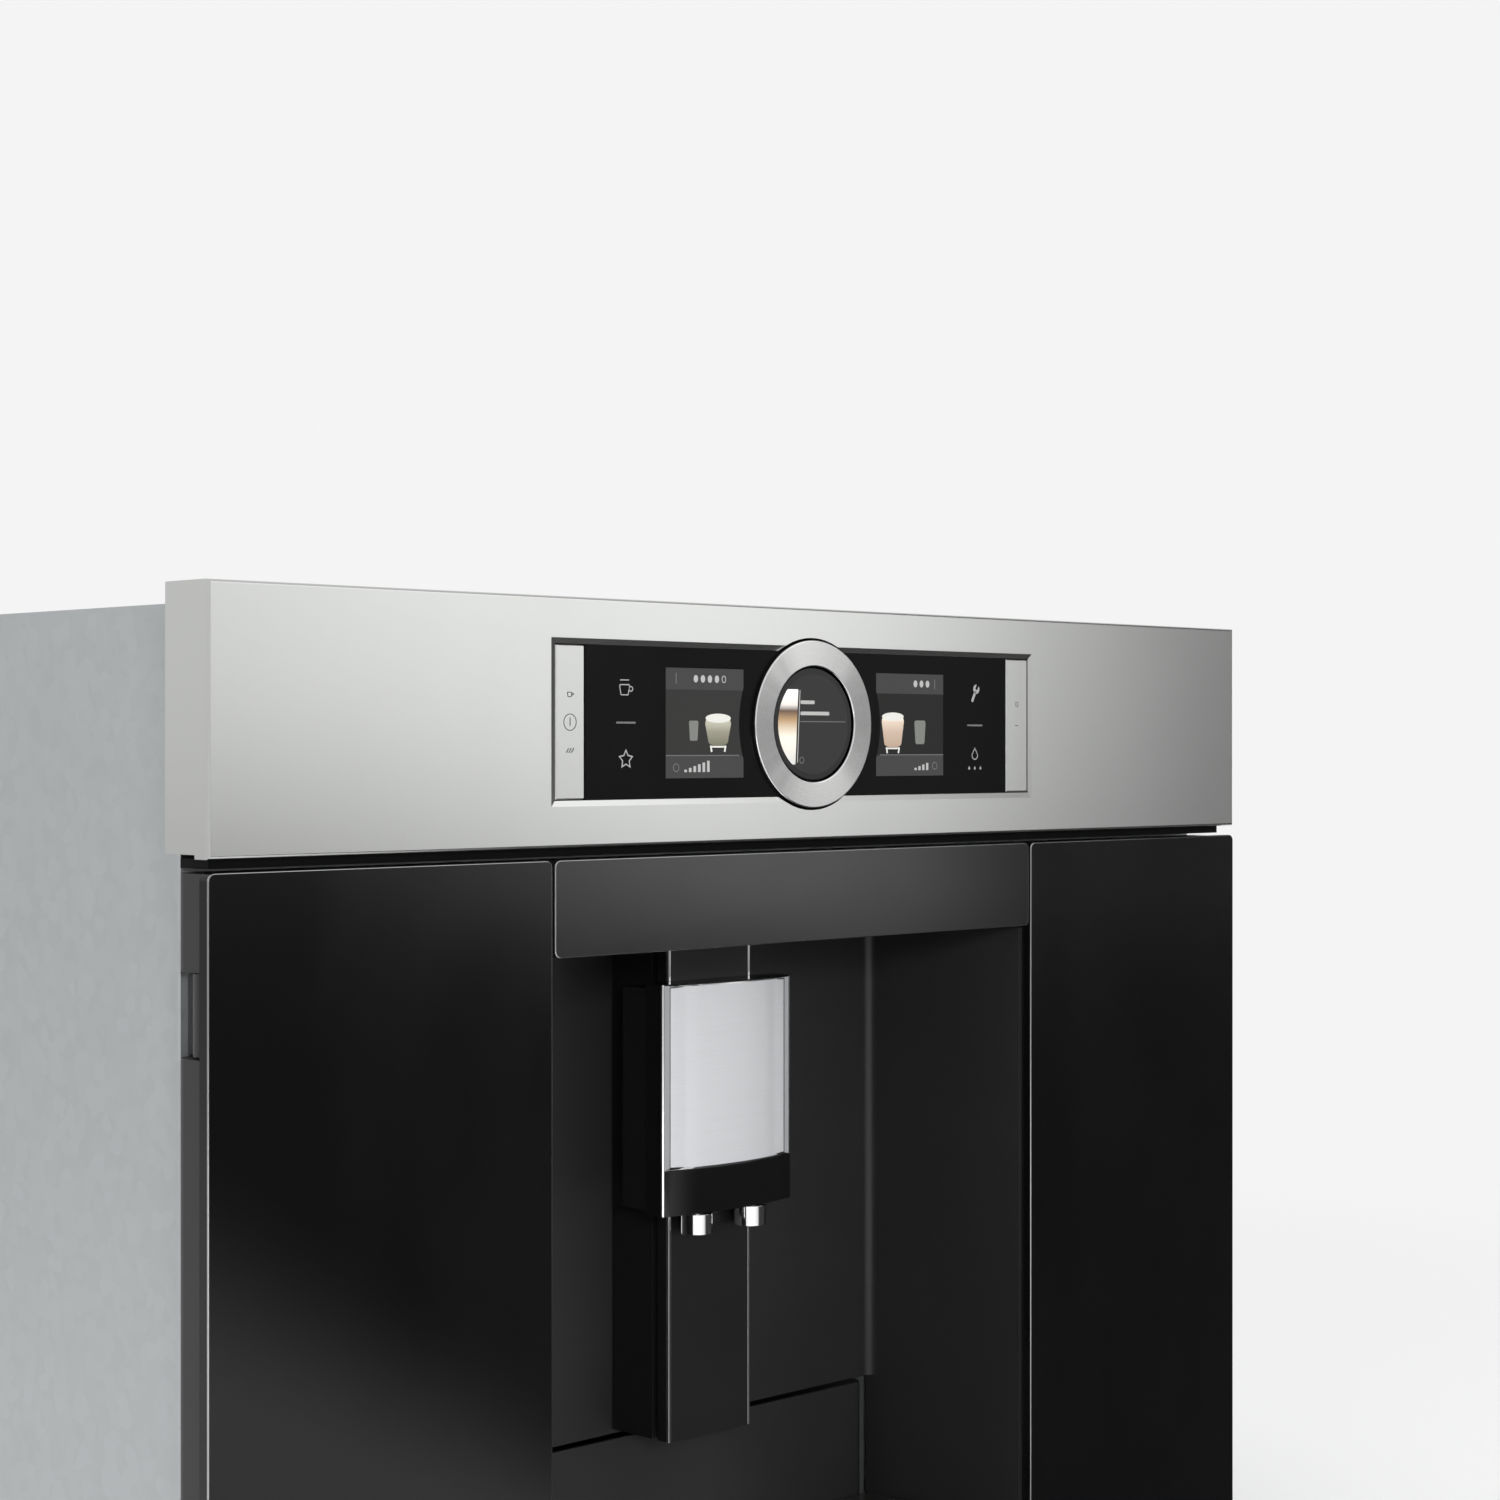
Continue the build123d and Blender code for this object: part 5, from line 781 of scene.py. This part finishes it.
class Print:
    """Thin marks on an upright face, made in millimetres about the dial's middle."""

    def __init__(self, face, height):
        self.face = face - height / 2
        self.height = height

    def layer(self, level):
        """Depths of the front and back of a mark on a layer, counted from the face, in metres."""
        back = self.face - level * self.height
        return back - self.height, back

    def place(self, mark, x, z, lean=0):
        """Moves a mark in its plane and leans it by some degrees."""
        mark.rotation_euler = (0, math.radians(lean), 0)
        mark.location = (x * MM, 0, z * MM)
        return settle(mark)

    def bar(self, x, z, width, height, level=0, corner=0.0, lean=0):
        """Bar about a point, with rounded corners."""
        front, back = self.layer(level)
        mark = slab(-width / 2 * MM, width / 2 * MM, front, back, -height / 2 * MM, height / 2 * MM)
        if corner:
            bevel_edges(mark, lambda a, b: abs(a.y - b.y) > self.height / 2, corner * MM, 4)
        return self.place(mark, x, z, lean)

    def dot(self, x, z, radius, level=0, sides=28):
        """Round mark."""
        return barrel(x * MM, z * MM, radius * MM, *self.layer(level), sides)

    def round_cutter(self, radius, sides=160):
        """Round cutter about the dial's axis, through every layer."""
        front, back = self.layer(0)
        return barrel(0, 0, radius * MM, front - MM, back + MM, sides)

    def outline(self, mark, width):
        """Leaves only a line of the given width round a mark."""
        return hollow(mark, width * MM)

    def finish(self, marks, material, name, body="housing", slot="screen"):
        """Joins marks, lifts them to the dial's height, and paints and mounts them."""
        piece = joined(marks)
        piece.location.z = DIAL_Z
        mount(paint(settle(piece), material), name, body, slot)


def star(sheet, x, z, radius, line):
    """Five-pointed star outline."""
    mark = sheet.dot(0, 0, radius, 0, 10)
    narrow = 0.52
    hollows = [(-math.sin(step * math.pi / 5), math.cos(step * math.pi / 5)) for step in range(1, 10, 2)]
    scale_points(
        mark, lambda point: any(point.x * a + point.z * b > radius * 0.99 * MM for a, b in hollows),
        (narrow, 1, narrow))
    return sheet.place(sheet.outline(mark, line), x, z)


def drop(sheet, x, z, radius, line=0.0):
    """Drop with its point upwards, as an outline where a line width is given."""
    mark = sheet.dot(0, 0, radius)
    stages = ((0.15, 0.94, 1.08), (0.45, 0.82, 1.16), (0.8, 0.55, 1.22), (1.25, 0.3, 1.1))
    for height, narrow, rise in stages:
        scale_points(mark, lambda point: point.z > height * radius * MM, (narrow, 1, rise))
    return sheet.place(sheet.outline(mark, line) if line else mark, x, z)


def mug(sheet, x, z, width, height, line):
    """Mug outline that narrows to its foot, with a handle."""
    body = sheet.bar(0, 0, width, height, 0, width * 0.12)
    scale_points(body, lambda point: point.z < 0, (0.78, 1, 1))
    body = sheet.place(sheet.outline(body, line), x, z)
    handle = sheet.dot(x + width * 0.60, z + height * 0.08, height * 0.26)
    return [body, sheet.outline(handle, line)]


def spanner(sheet, x, z, size):
    """Spanner: a slanting shaft whose head is cut open by a notch."""
    lean = 28
    across, up = size * math.sin(math.radians(lean)), size * math.cos(math.radians(lean))
    head = sheet.dot(x + 0.27 * across, z + 0.27 * up, size * 0.25)
    front, back = sheet.layer(0)
    half, reach = size * 0.09 * MM, size * 0.4 * MM
    notch = slab(-half, half, front - MM, back + MM, 0, reach)
    notch = sheet.place(notch, x + 0.24 * across, z + 0.24 * up, lean)
    shaft = sheet.bar(x - 0.18 * across, z - 0.18 * up, size * 0.17, size * 0.64, 0, size * 0.07, lean)
    return [shaft, carve(head, notch)]


def make_touch_symbols(sheet):
    """Printed symbols of the touch fields on both sides."""
    column, top, bottom, line = 104.0, 14.0, -14.3, 0.42
    left = mug(sheet, -column - 0.7, top - 1.2, 5.6, 4.4, line)
    left.append(sheet.bar(-column - 0.7, top + 2.6, 4.6, 0.4))
    left.append(star(sheet, -column, bottom, 4.1, 0.5))
    right = spanner(sheet, column, top, 8.2)
    right.append(drop(sheet, column, bottom + 1.2, 2.1, line))
    right += [drop(sheet, column + offset, bottom - 4.6, 0.6) for offset in (-3.8, 0.0, 3.8)]
    for word, side, marks in (("left", -1, left), ("right", 1, right)):
        sheet.finish(marks, "symbol print", word + "_touch_symbols")
        rule = sheet.bar(side * column, 0, 10.2, 0.75, 0, 0.2)
        sheet.finish([rule], "faint print", word + "_touch_bar")


def make_key_marks(sheet):
    """Small printed marks on the two keys."""
    middle = (KEY_LOW.x + KEY_HIGH.x) / 2 / MM
    line = 0.32
    standby = [
        sheet.outline(sheet.dot(-middle, 0, 3.3, 0, 40), line),
        sheet.bar(-middle, 0.2, 0.4, 3.2),
        *mug(sheet, -middle - 0.2, 10.6, 2.6, 2.0, line),
        *(sheet.bar(-middle + step * 1.3, -10.8, 0.4, 2.2, lean=35) for step in (-1, 0, 1)),
    ]
    sheet.finish(standby, "key print", "left_key_marks", "left_key", "brushed_stainless")
    faint = [
        sheet.outline(sheet.dot(middle, 9.6, 1.1), line * 0.7),
        sheet.bar(middle, 0, 2.4, line * 0.8),
    ]
    sheet.finish(faint, "key print", "right_key_marks", "right_key", "brushed_stainless")


class COFFEE_OT_symbols(bpy.types.Operator):
    """Prints the touch symbols and the marks on the keys"""

    bl_idname = "coffee.symbols"
    bl_label = "Symbols"

    def execute(self, context):
        height = context.scene.machine_sizes.print_height
        make_touch_symbols(Print(GLASS_FRONT, height))
        make_key_marks(Print(KEY_LOW.y, height))
        return {"FINISHED"}


# -------------------- screen pictures

SCREEN_NEAR, SCREEN_FAR = SCREEN_LOW.x / MM, SCREEN_HIGH.x / MM
SCREEN_TOP, SCREEN_BOTTOM = (SCREEN_HIGH.z - DIAL_Z) / MM, (SCREEN_LOW.z - DIAL_Z) / MM
# the black left between the side screens and the ring, out to this radius, is a painted shadow of the ring
RING_SHADOW_RADIUS = 42.2             # the side screens begin this far from the dial's middle
DIAL_PICTURE = 20.8             # radius of the round picture


def make_side_screen(sheet, side):
    """Grey screen with a lighter bar above and below; its inner edge is cut round short of the ring, and
    the black left between is a painted shadow of the ring.
    """
    word = "right" if side > 0 else "left"
    middle, width = side * (SCREEN_NEAR + SCREEN_FAR) / 2, SCREEN_FAR - SCREEN_NEAR
    ground = sheet.bar(middle, 0, width, SCREEN_TOP - SCREEN_BOTTOM)
    # cut round about the dial: the black left between screen and ring is a painted shadow of the ring
    ground = carve(ground, sheet.round_cutter(RING_SHADOW_RADIUS))
    sheet.finish([ground], word + " screen grey", word + "_screen_ground")
    bars = joined([
        sheet.bar(middle, SCREEN_TOP - 4.3, width, 8.6, 1),
        sheet.bar(middle, SCREEN_BOTTOM + 4.35, width, 8.7, 1),
    ])
    bars = carve(bars, sheet.round_cutter(RING_SHADOW_RADIUS))
    sheet.finish([bars], "screen bar", word + "_screen_bars")
    outer = side * (SCREEN_FAR - 5.6)
    lines = [
        sheet.bar(middle + side * 1.2, SCREEN_BOTTOM + 9.0, width - 2.4, 0.4, 1),
        sheet.outline(sheet.dot(outer, SCREEN_BOTTOM + 4.2, 1.7, 2), 0.35),
        sheet.bar(outer, SCREEN_TOP - 4.2, 0.4, 4.2, 2),
    ]
    sheet.finish(lines, "screen line", word + "_screen_lines")


def make_bean_row(sheet, name, x, count, lit):
    """Row of oval dots for a strength; those past the lit ones are outlines."""
    beans = []
    for step in range(count):
        bean = scale_points(sheet.dot(0, 0, 1.5, 2), lambda point: True, (0.8, 1, 1))
        bean = bean if step < lit else sheet.outline(bean, 0.35)
        beans.append(sheet.place(bean, x + (step - (count - 1) / 2) * 3.9, SCREEN_TOP - 4.2))
    sheet.finish(beans, "screen text", name)


def make_level_steps(sheet, name, x, count):
    """Rising steps, as on a volume scale."""
    foot = SCREEN_BOTTOM + 4.3 - 1.4
    marks = [
        sheet.bar(x + step * 2.5, foot + step * 0.35, 1.4, 1.0 + 0.7 * step, 2) for step in range(count)]
    sheet.finish(marks, "screen text", name)


def make_bowl_glass(sheet, name, x, z, width, height, material):
    """Round-bottomed glass on a short foot, with a pale brim."""
    bowl = sheet.bar(0, 0, width, height, 2, width * 0.2)
    for share in (0.2, 0.45):
        scale_points(bowl, lambda point: point.z < -height * share * MM, (0.8, 1, 1))
    sheet.finish([sheet.place(bowl, x, z)], material, name + "_bowl")
    brim = scale_points(sheet.dot(0, 0, width * 0.49, 3), lambda point: True, (1, 1, 0.26))
    sheet.finish([sheet.place(brim, x, z + height * 0.46)], "picture foam", name + "_brim")
    base = z - height * 0.5
    foot = [sheet.bar(x + side * width * 0.27, base - 1.3, 0.9, 2.6, 2, 0.2, side * 12) for side in (-1, 1)]
    foot.append(sheet.bar(x, base - 0.5, width * 0.5, 0.7, 2, 0.2))
    sheet.finish(foot, "picture foam", name + "_foot")


def make_small_cup(sheet, name, x, z, width, height):
    """Small cup standing behind."""
    cup = sheet.bar(0, 0, width, height, 2, width * 0.16)
    scale_points(cup, lambda point: point.z < 0, (0.82, 1, 1))
    sheet.finish([sheet.place(cup, x, z)], "picture glass", name)


def make_dial_picture(sheet):
    """Grey ground of the round display, a tall glass cut off by its edge, name bars and a rule."""
    ground = sheet.dot(0, 0, DIAL_PICTURE, 0, 128)
    sheet.finish([ground], "dial screen grey", "dial_screen_ground")
    glass = sheet.bar(-15.2, -1.2, 12.6, 31.0, 1)
    scale_points(glass, lambda point: point.z < 0, (0.86, 1, 1), (-21.5 * MM, 0, 0))
    glass = carve(glass, sheet.round_cutter(DIAL_PICTURE, 128), "INTERSECT")
    sheet.finish([glass], "picture layers", "dial_tall_glass")
    sheet.finish([sheet.bar(-8.7, -1.0, 0.4, 30.0, 2, lean=3)], "screen text", "dial_glass_rim")
    names = [sheet.bar(-3.4, 9.0, 8.4, 1.5, 1, 0.5), sheet.bar(1.0, 4.4, 17.2, 1.5, 1, 0.5)]
    sheet.finish(names, "screen text", "dial_name_bars")
    rule = [sheet.bar(5.8, 1.0, 27.0, 0.35, 1), sheet.outline(sheet.dot(-6.8, -15.0, 1.4, 1), 0.3)]
    sheet.finish(rule, "screen line", "dial_rule")


class COFFEE_OT_screens(bpy.types.Operator):
    """Makes the pictures of the two side screens and the round display"""

    bl_idname = "coffee.screens"
    bl_label = "Screens"

    def execute(self, context):
        height = context.scene.machine_sizes.print_height
        sheet = Print(GLASS_FRONT, height)
        make_side_screen(sheet, -1)
        make_bean_row(sheet, "left_bean_row", -58.6, 5, 4)
        make_level_steps(sheet, "left_level_steps", -72.0, 6)
        make_small_cup(sheet, "left_small_cup", -67.6, -3.0, 5.2, 8.0)
        make_bowl_glass(sheet, "left_glass", -54.0, -3.2, 14.4, 11.4, "picture drink")
        make_side_screen(sheet, 1)
        make_bean_row(sheet, "right_bean_row", 68.6, 3, 3)
        make_level_steps(sheet, "right_level_steps", 64.8, 4)
        make_small_cup(sheet, "right_small_cup", 67.6, -3.2, 7.2, 10.2)
        make_bowl_glass(sheet, "right_glass", 50.2, -2.8, 14.0, 13.6, "picture drink warm")
        make_dial_picture(Print(LENS_LOW.y, height))
        return {"FINISHED"}


# -------------------- outlet

COVER_SIDE = FACE + 50 * MM     # front corners of the outlet cover's sides
COVER_SIDE_HEIGHT = 20 * MM     # those corners are longer than this
COVER_ROUNDING = 0.9 * MM
COVER_TRIM = 1.05 * MM          # width of the bright edges
PLATE_BEVEL = 0.22 * MM
PLATE_RIM = 0.55 * MM
PLATE_GROOVE, GROOVE_DEPTH = 0.4 * MM, 0.15 * MM
PLATE_NARROWING = 0.94          # the brushed field against the plate's width, within its rims
SPOUT_RADIUS = 7 * MM
SPOUT_HEIGHT = 8.5 * MM         # of the wide part


def make_cover():
    """Gloss outlet cover with rounded, polished side edges."""
    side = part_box("outlet_cover")[1].x
    cover = bevel_edges(copy_of_node("outlet_cover"), lambda a, b: (
        abs(a.z - b.z) > COVER_SIDE_HEIGHT and abs(abs(a.x) - side) < 0.05 * MM
        and abs(a.y - COVER_SIDE) < 0.3 * MM), COVER_ROUNDING, 4)
    soften(cover, 0.25 * MM)
    paint(cover, "gloss black", "polished edge")
    repaint(cover, 1, lambda centre, normal: (
        abs(normal.x) > 0.15 and normal.y < -0.15 and abs(centre.x) > side - COVER_TRIM))
    mount(smooth(cover, 34), "outlet_shroud", "outlet_cover", "gloss_black", "outlet_cover")


def make_plate():
    """Brushed outlet plate: a field inside a groove whose faces are painted black as shade, with grey side
    rims and bright ends.
    """
    low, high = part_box("outlet_plate")
    plate = soften(copy_of_node("outlet_plate"), PLATE_BEVEL)
    edit_faces(plate, lambda centre, normal: normal.y < -0.9)
    bpy.ops.mesh.inset(thickness=PLATE_RIM)
    bpy.ops.transform.resize(value=(PLATE_NARROWING, 1, 1), center_override=(0, 0, 0))
    bpy.ops.mesh.inset(thickness=PLATE_GROOVE, depth=-GROOVE_DEPTH)
    calm()
    field = (high.x - PLATE_BEVEL - PLATE_RIM) * PLATE_NARROWING
    end = PLATE_BEVEL + PLATE_RIM

    paint(plate, "outlet stainless", "polished edge", "matt black and groove shade", "outlet rim")
    for face in plate.data.polygons:
        side, in_front = abs(face.center.x), face.normal.y < -0.3
        from_end = min(face.center.z - low.z, high.z - face.center.z)
        if from_end < end and side < high.x - PLATE_BEVEL:
            face.material_index = 1
        elif in_front and side > field:
            face.material_index = 3
        # painted shade: the groove's faces get the black material, standing for the shade inside the groove
        elif in_front and (side > field - PLATE_GROOVE or from_end < end + PLATE_GROOVE):
            face.material_index = 2
    mount(smooth(plate, 20), "outlet_face_plate", "outlet_cover", "brushed_stainless", "outlet_plate")


def make_spout(side):
    """Chrome spout: a stepped barrel with a rounded mouth."""
    low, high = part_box("outlet_nozzles")
    top = low.z + SPOUT_HEIGHT
    calm()
    bpy.ops.mesh.primitive_cylinder_add(
        vertices=72, radius=SPOUT_RADIUS, depth=SPOUT_HEIGHT,
        location=(side * (high.x - SPOUT_RADIUS), (low.y + high.y) / 2, (low.z + top) / 2))
    piece = settle(bpy.context.object)
    # each step goes so far inwards and then so far up
    stem = ((0.9 * MM, 0), (2.8 * MM, high.z - top))
    mouth = ((1.3 * MM, 5.5 * MM), (3.7 * MM, 6 * MM))
    for end, steps in ((1, stem), (-1, mouth)):
        edit_faces(piece, lambda centre, normal: normal.z * end > 0.9)
        for inward, upward in steps:
            bpy.ops.mesh.inset(thickness=inward)
            bpy.ops.mesh.extrude_region_move(TRANSFORM_OT_translate={"value": (0, 0, upward)})
        calm()
    return soften(piece, 0.35 * MM, 3, 50)


class COFFEE_OT_outlet(bpy.types.Operator):
    """Makes the outlet's cover, plate and spouts"""

    bl_idname = "coffee.outlet"
    bl_label = "Outlet"

    def execute(self, context):
        make_cover()
        make_plate()
        spouts = paint(joined([make_spout(-1), make_spout(1)]), "chrome")
        mount(smooth(spouts, 40), "chrome_spouts", "outlet", "chrome_trim", "outlet_nozzles")
        return {"FINISHED"}


# -------------------- moulded and sheet pieces

SOFT_PIECES = {
    # slot and material: (node, body, rounding in millimetres)
    ("black_plastic", "moulded black"): (
        ("bay_liner", "housing", 0.5), ("drip_tray", "tray", 0.6), ("grounds_container", "tray", 0.6),
        ("door_frame", "door", 0.4)),
    ("black_plastic", "carriage black"): (
        ("outlet_column", "housing", 0.35), ("outlet_carriage", "outlet", 0.4)),
    ("grey_plastic", "grey moulding"): (
        ("milk_frother", "outlet", 0.6), ("tank_handle", "tank_handle", 0.8),
        ("brew_unit", "brew_unit", 0.8), ("grinder_housing", "housing", 0.6),
        ("grind_lever", "grind_lever", 0.8)),
    ("smoked_clear", "smoked clear"): (
        ("bean_hopper", "hopper", 0.4), ("hopper_lid", "hopper_lid", 0.3), ("water_tank", "tank", 0.4),
        ("tank_lid", "tank_lid", 0.3)),
    ("brushed_stainless", "key stainless"): (
        ("left_key", "left_key", 0.15), ("right_key", "right_key", 0.15)),
    ("brushed_stainless", "ground steel"): (("drip_grate", "grate", 0.35),),
    ("black_glass", "door pane"): (("tray_front", "tray", 0.3),),
    ("chrome_trim", "chrome"): (("column_trims", "housing", 0.3),),
    ("float_red", "float red"): (("level_float", "float", 0.4),),
}


def make_screws():
    """Housing screws with a round socket in each head."""
    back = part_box("housing_screws")[1].y
    screws = copy_of_node("housing_screws")
    edit_faces(screws, lambda centre, normal: normal.y > 0.9 and centre.y > back - 0.1 * MM)
    for inward, depth in ((0.35 * MM, 0), (1.3 * MM, 0), (0.25 * MM, -1.1 * MM)):
        bpy.ops.mesh.inset(thickness=inward, depth=depth, use_individual=True)
    calm()
    paint(screws, "ground steel")
    mount(smooth(screws, 36), "socket_screws", "housing", "hard_steel", "housing_screws")


class COFFEE_OT_soft_edges(bpy.types.Operator):
    """Gives the moulded and pressed pieces their rounded edges"""

    bl_idname = "coffee.soft_edges"
    bl_label = "Rounded pieces"

    def execute(self, context):
        for (slot, material), rows in SOFT_PIECES.items():
            for node, body, width in rows:
                piece = paint(soften(copy_of_node(node), width * MM), material)
                mount(smooth(piece, 36), node + "_finished", body, slot, node)
        make_screws()
        return {"FINISHED"}


# -------------------- stage

FLOOR_RADIUS = 14
FLOOR_DEPTH = 0.3 * MM          # the floor lies this far below the machine
BACKDROP_GAIN = 1.03            # the background against the floor's colour
PHOTO_SIDE = 1500               # pixels
PHOTO_HORIZON = 746             # pixels from the top of the photograph
AIM = (0, -0.1, 0.25)           # the point that the lamps face
FADE_NEAR, FADE_FAR = 0.55, 1.5         # where the floor starts and ends to fade
GLOSS_NEAR, GLOSS_FAR = 1.9, 8.0        # where the floor brightens in reflections
ROOM_LIGHT = 0.55               # strength of the background as a light
ROOM_GLOSS = 0.9                # strength of the background in reflections
PANEL_GAIN, CARD_LOSS = 1.05, 0.83      # what the panel adds to it and the card takes away


def sector(tree, bearing, *degrees):
    """Mask over a sector: it rises between the first two bearings and falls between the last two."""
    start, full, fade, end = (math.radians(angle) for angle in degrees)
    rise = ramp_node(tree, bearing, start, full)
    return product(tree, rise, ramp_node(tree, bearing, fade, end, 1.0, 0.0))


def bearing_of(tree, vector):
    """Angle about the vertical, counted from the front to the right, and the height."""
    across, back, up = axes(tree, vector)
    return math_node(tree, "ARCTAN2", across, product(tree, back, -1.0)), up


def mix_shaders(tree, mask, below, above):
    """One shader or background over another, by a mask; the output is returned."""
    return add_node(tree, "ShaderNodeMixShader", {0: mask, 1: below, 2: above}).outputs["Shader"]


def light(tree, kind, colour, strength):
    """Emission or background node; its output is returned."""
    return add_node(tree, kind, {"Color": (*colour, 1), "Strength": strength}).outputs[0]


def make_floor(colour):
    """Pale floor that fades into the background; reflections see its front right as a dark card
    with a bright patch."""
    calm()
    bpy.ops.mesh.primitive_circle_add(
        vertices=128, radius=FLOOR_RADIUS, fill_type="NGON", location=(0, 0, -FLOOR_DEPTH))
    floor = settle(bpy.context.object)
    floor.name = "studio_floor"
    tree, shader = finish("studio floor", colour, 0.9, Specular_IOR_Level=0.1)
    rays = add_node(tree, "ShaderNodeLightPath").outputs
    place = object_place(tree)
    away = add_node(tree, "ShaderNodeVectorMath", {0: place}, operation="LENGTH").outputs["Value"]
    glow = light(tree, "ShaderNodeEmission", tinted(colour, BACKDROP_GAIN), 1.0)
    faded = product(tree, ramp_node(tree, away, FADE_NEAR, FADE_FAR), rays["Is Camera Ray"])
    seen = mix_shaders(tree, faded, shader.outputs["BSDF"], glow)
    bearing, _ = bearing_of(tree, place)
    distance = ramp_node(tree, away, GLOSS_NEAR, GLOSS_FAR)
    patch = product(tree, distance, sector(tree, bearing, 32, 44, 45, 51))
    strength = total(tree, total(tree, product(tree, patch, 1.35), 0.05), product(tree, distance, 0.15))
    card = light(tree, "ShaderNodeEmission", (1, 1, 1), strength)
    mirrored = product(tree, rays["Is Glossy Ray"], sector(tree, bearing, 8, 24, 66, 84))
    surface = mix_shaders(tree, mirrored, seen, card)
    feed(tree, tree.nodes["Material Output"].inputs["Surface"], surface)
    paint(floor, "studio floor")


def make_world(colour):
    """Pale background; reflections also show a bright panel and a dark card at the front right."""
    world = bpy.context.scene.world = bpy.data.worlds.new("studio")
    world.use_nodes = True
    tree = world.node_tree
    rays = add_node(tree, "ShaderNodeLightPath").outputs
    bearing, height = bearing_of(tree, add_node(tree, "ShaderNodeTexCoord").outputs["Generated"])
    panel = product(tree, sector(tree, bearing, 24, 46, 48, 53), ramp_node(tree, height, 0.75, 0.35))
    panel = product(tree, panel, ramp_node(tree, height, -0.10, 0.10, 0.2, 1.0))
    card = product(tree, sector(tree, bearing, 48, 53, 84, 100), ramp_node(tree, height, 0.8, 0.5))
    level = total(tree, ROOM_GLOSS, product(tree, card, -CARD_LOSS))
    level = total(tree, level, product(tree, panel, PANEL_GAIN))
    plain = light(tree, "ShaderNodeBackground", (1, 1, 1), ROOM_LIGHT)
    panels = light(tree, "ShaderNodeBackground", (0.8, 0.8, 0.8), level)
    shown = light(tree, "ShaderNodeBackground", tinted(colour, BACKDROP_GAIN), 1.0)
    lit = mix_shaders(tree, rays["Is Glossy Ray"], plain, panels)
    clear = math_node(tree, "MAXIMUM", rays["Is Camera Ray"], rays["Is Transmission Ray"])
    feed(tree, tree.nodes["World Output"].inputs["Surface"], mix_shaders(tree, clear, lit, shown))


def hold(name, data, place, turn):
    """Puts a lamp or camera in the scene."""
    holder = bpy.data.objects.new(name, data)
    bpy.context.scene.collection.objects.link(holder)
    holder.location = place
    holder.rotation_euler = turn
    return holder


def make_lamp(name, place, size, power):
    """Square soft lamp that faces the machine; reflections show the world's panels instead."""
    lamp = bpy.data.lights.new(name, "AREA")
    lamp.shape = "SQUARE"
    lamp.size = size
    lamp.energy = power
    facing = (Vector(AIM) - Vector(place)).to_track_quat("-Z", "Y").to_euler()
    hold(name, lamp, place, facing).visible_glossy = False


def make_camera(studio):
    """Camera at the photograph's angle."""
    camera = bpy.data.cameras.new("camera")
    camera.lens = studio.lens
    camera.sensor_width = 36
    camera.shift_y = (PHOTO_HORIZON - PHOTO_SIDE / 2) / PHOTO_SIDE
    bpy.context.scene.camera = hold(
        "camera", camera, studio.camera_place, (math.pi / 2, 0, -studio.camera_turn))


class COFFEE_OT_stage(bpy.types.Operator):
    """Makes the floor, the background, the lamps and the camera"""

    bl_idname = "coffee.stage"
    bl_label = "Stage"

    def execute(self, context):
        studio = context.scene.machine_studio
        make_floor(studio.floor)
        make_world(studio.floor)
        make_lamp("key lamp", (-1.15, -1.85, 0.72), 0.28, studio.key_power)
        make_lamp("right lamp", (2.0, -1.2, 1.1), 1.4, studio.fill_power)
        make_lamp("rear lamp", (0.4, 2.2, 1.6), 1.6, studio.fill_power)
        make_lamp("top lamp", (0, -0.2, 2.2), 1.6, studio.fill_power)
        make_camera(studio)
        context.scene.view_settings.view_transform = "Standard"
        return {"FINISHED"}


# -------------------- panel and registration

OPERATORS = (
    COFFEE_OT_finishes, COFFEE_OT_door_panes, COFFEE_OT_control_ring, COFFEE_OT_symbols, COFFEE_OT_screens,
    COFFEE_OT_outlet, COFFEE_OT_soft_edges, COFFEE_OT_stage,
)


class COFFEE_PT_machine(bpy.types.Panel):
    """Lists the machine's settings and the steps that make it"""

    bl_label = "Coffee machine"
    bl_idname = "COFFEE_PT_machine"
    bl_space_type = "VIEW_3D"
    bl_region_type = "UI"
    bl_category = "Coffee machine"

    def draw(self, context):
        for group in GROUPS:
            box = self.layout.box()
            settings = getattr(context.scene, group)
            for name in settings.__annotations__:
                box.prop(settings, name)
        for step in OPERATORS:
            self.layout.operator(step.bl_idname)


GROUPS = {
    "machine_sizes": MachineSizes, "machine_finishes": MachineFinishes, "machine_studio": MachineStudio,
}
CLASSES = (*GROUPS.values(), *OPERATORS, COFFEE_PT_machine)


def register():
    for item in CLASSES:
        bpy.utils.register_class(item)
    for name, group in GROUPS.items():
        setattr(bpy.types.Scene, name, bpy.props.PointerProperty(type=group))


def unregister():
    for name in GROUPS:
        delattr(bpy.types.Scene, name)
    for item in reversed(CLASSES):
        bpy.utils.unregister_class(item)


def main():
    register()
    bpy.ops.coffee.finishes()
    bpy.ops.coffee.door_panes()
    bpy.ops.coffee.control_ring()
    bpy.ops.coffee.symbols()
    bpy.ops.coffee.screens()
    bpy.ops.coffee.outlet()
    bpy.ops.coffee.soft_edges()
    bpy.ops.coffee.stage()


if __name__ == "__main__":
    main()
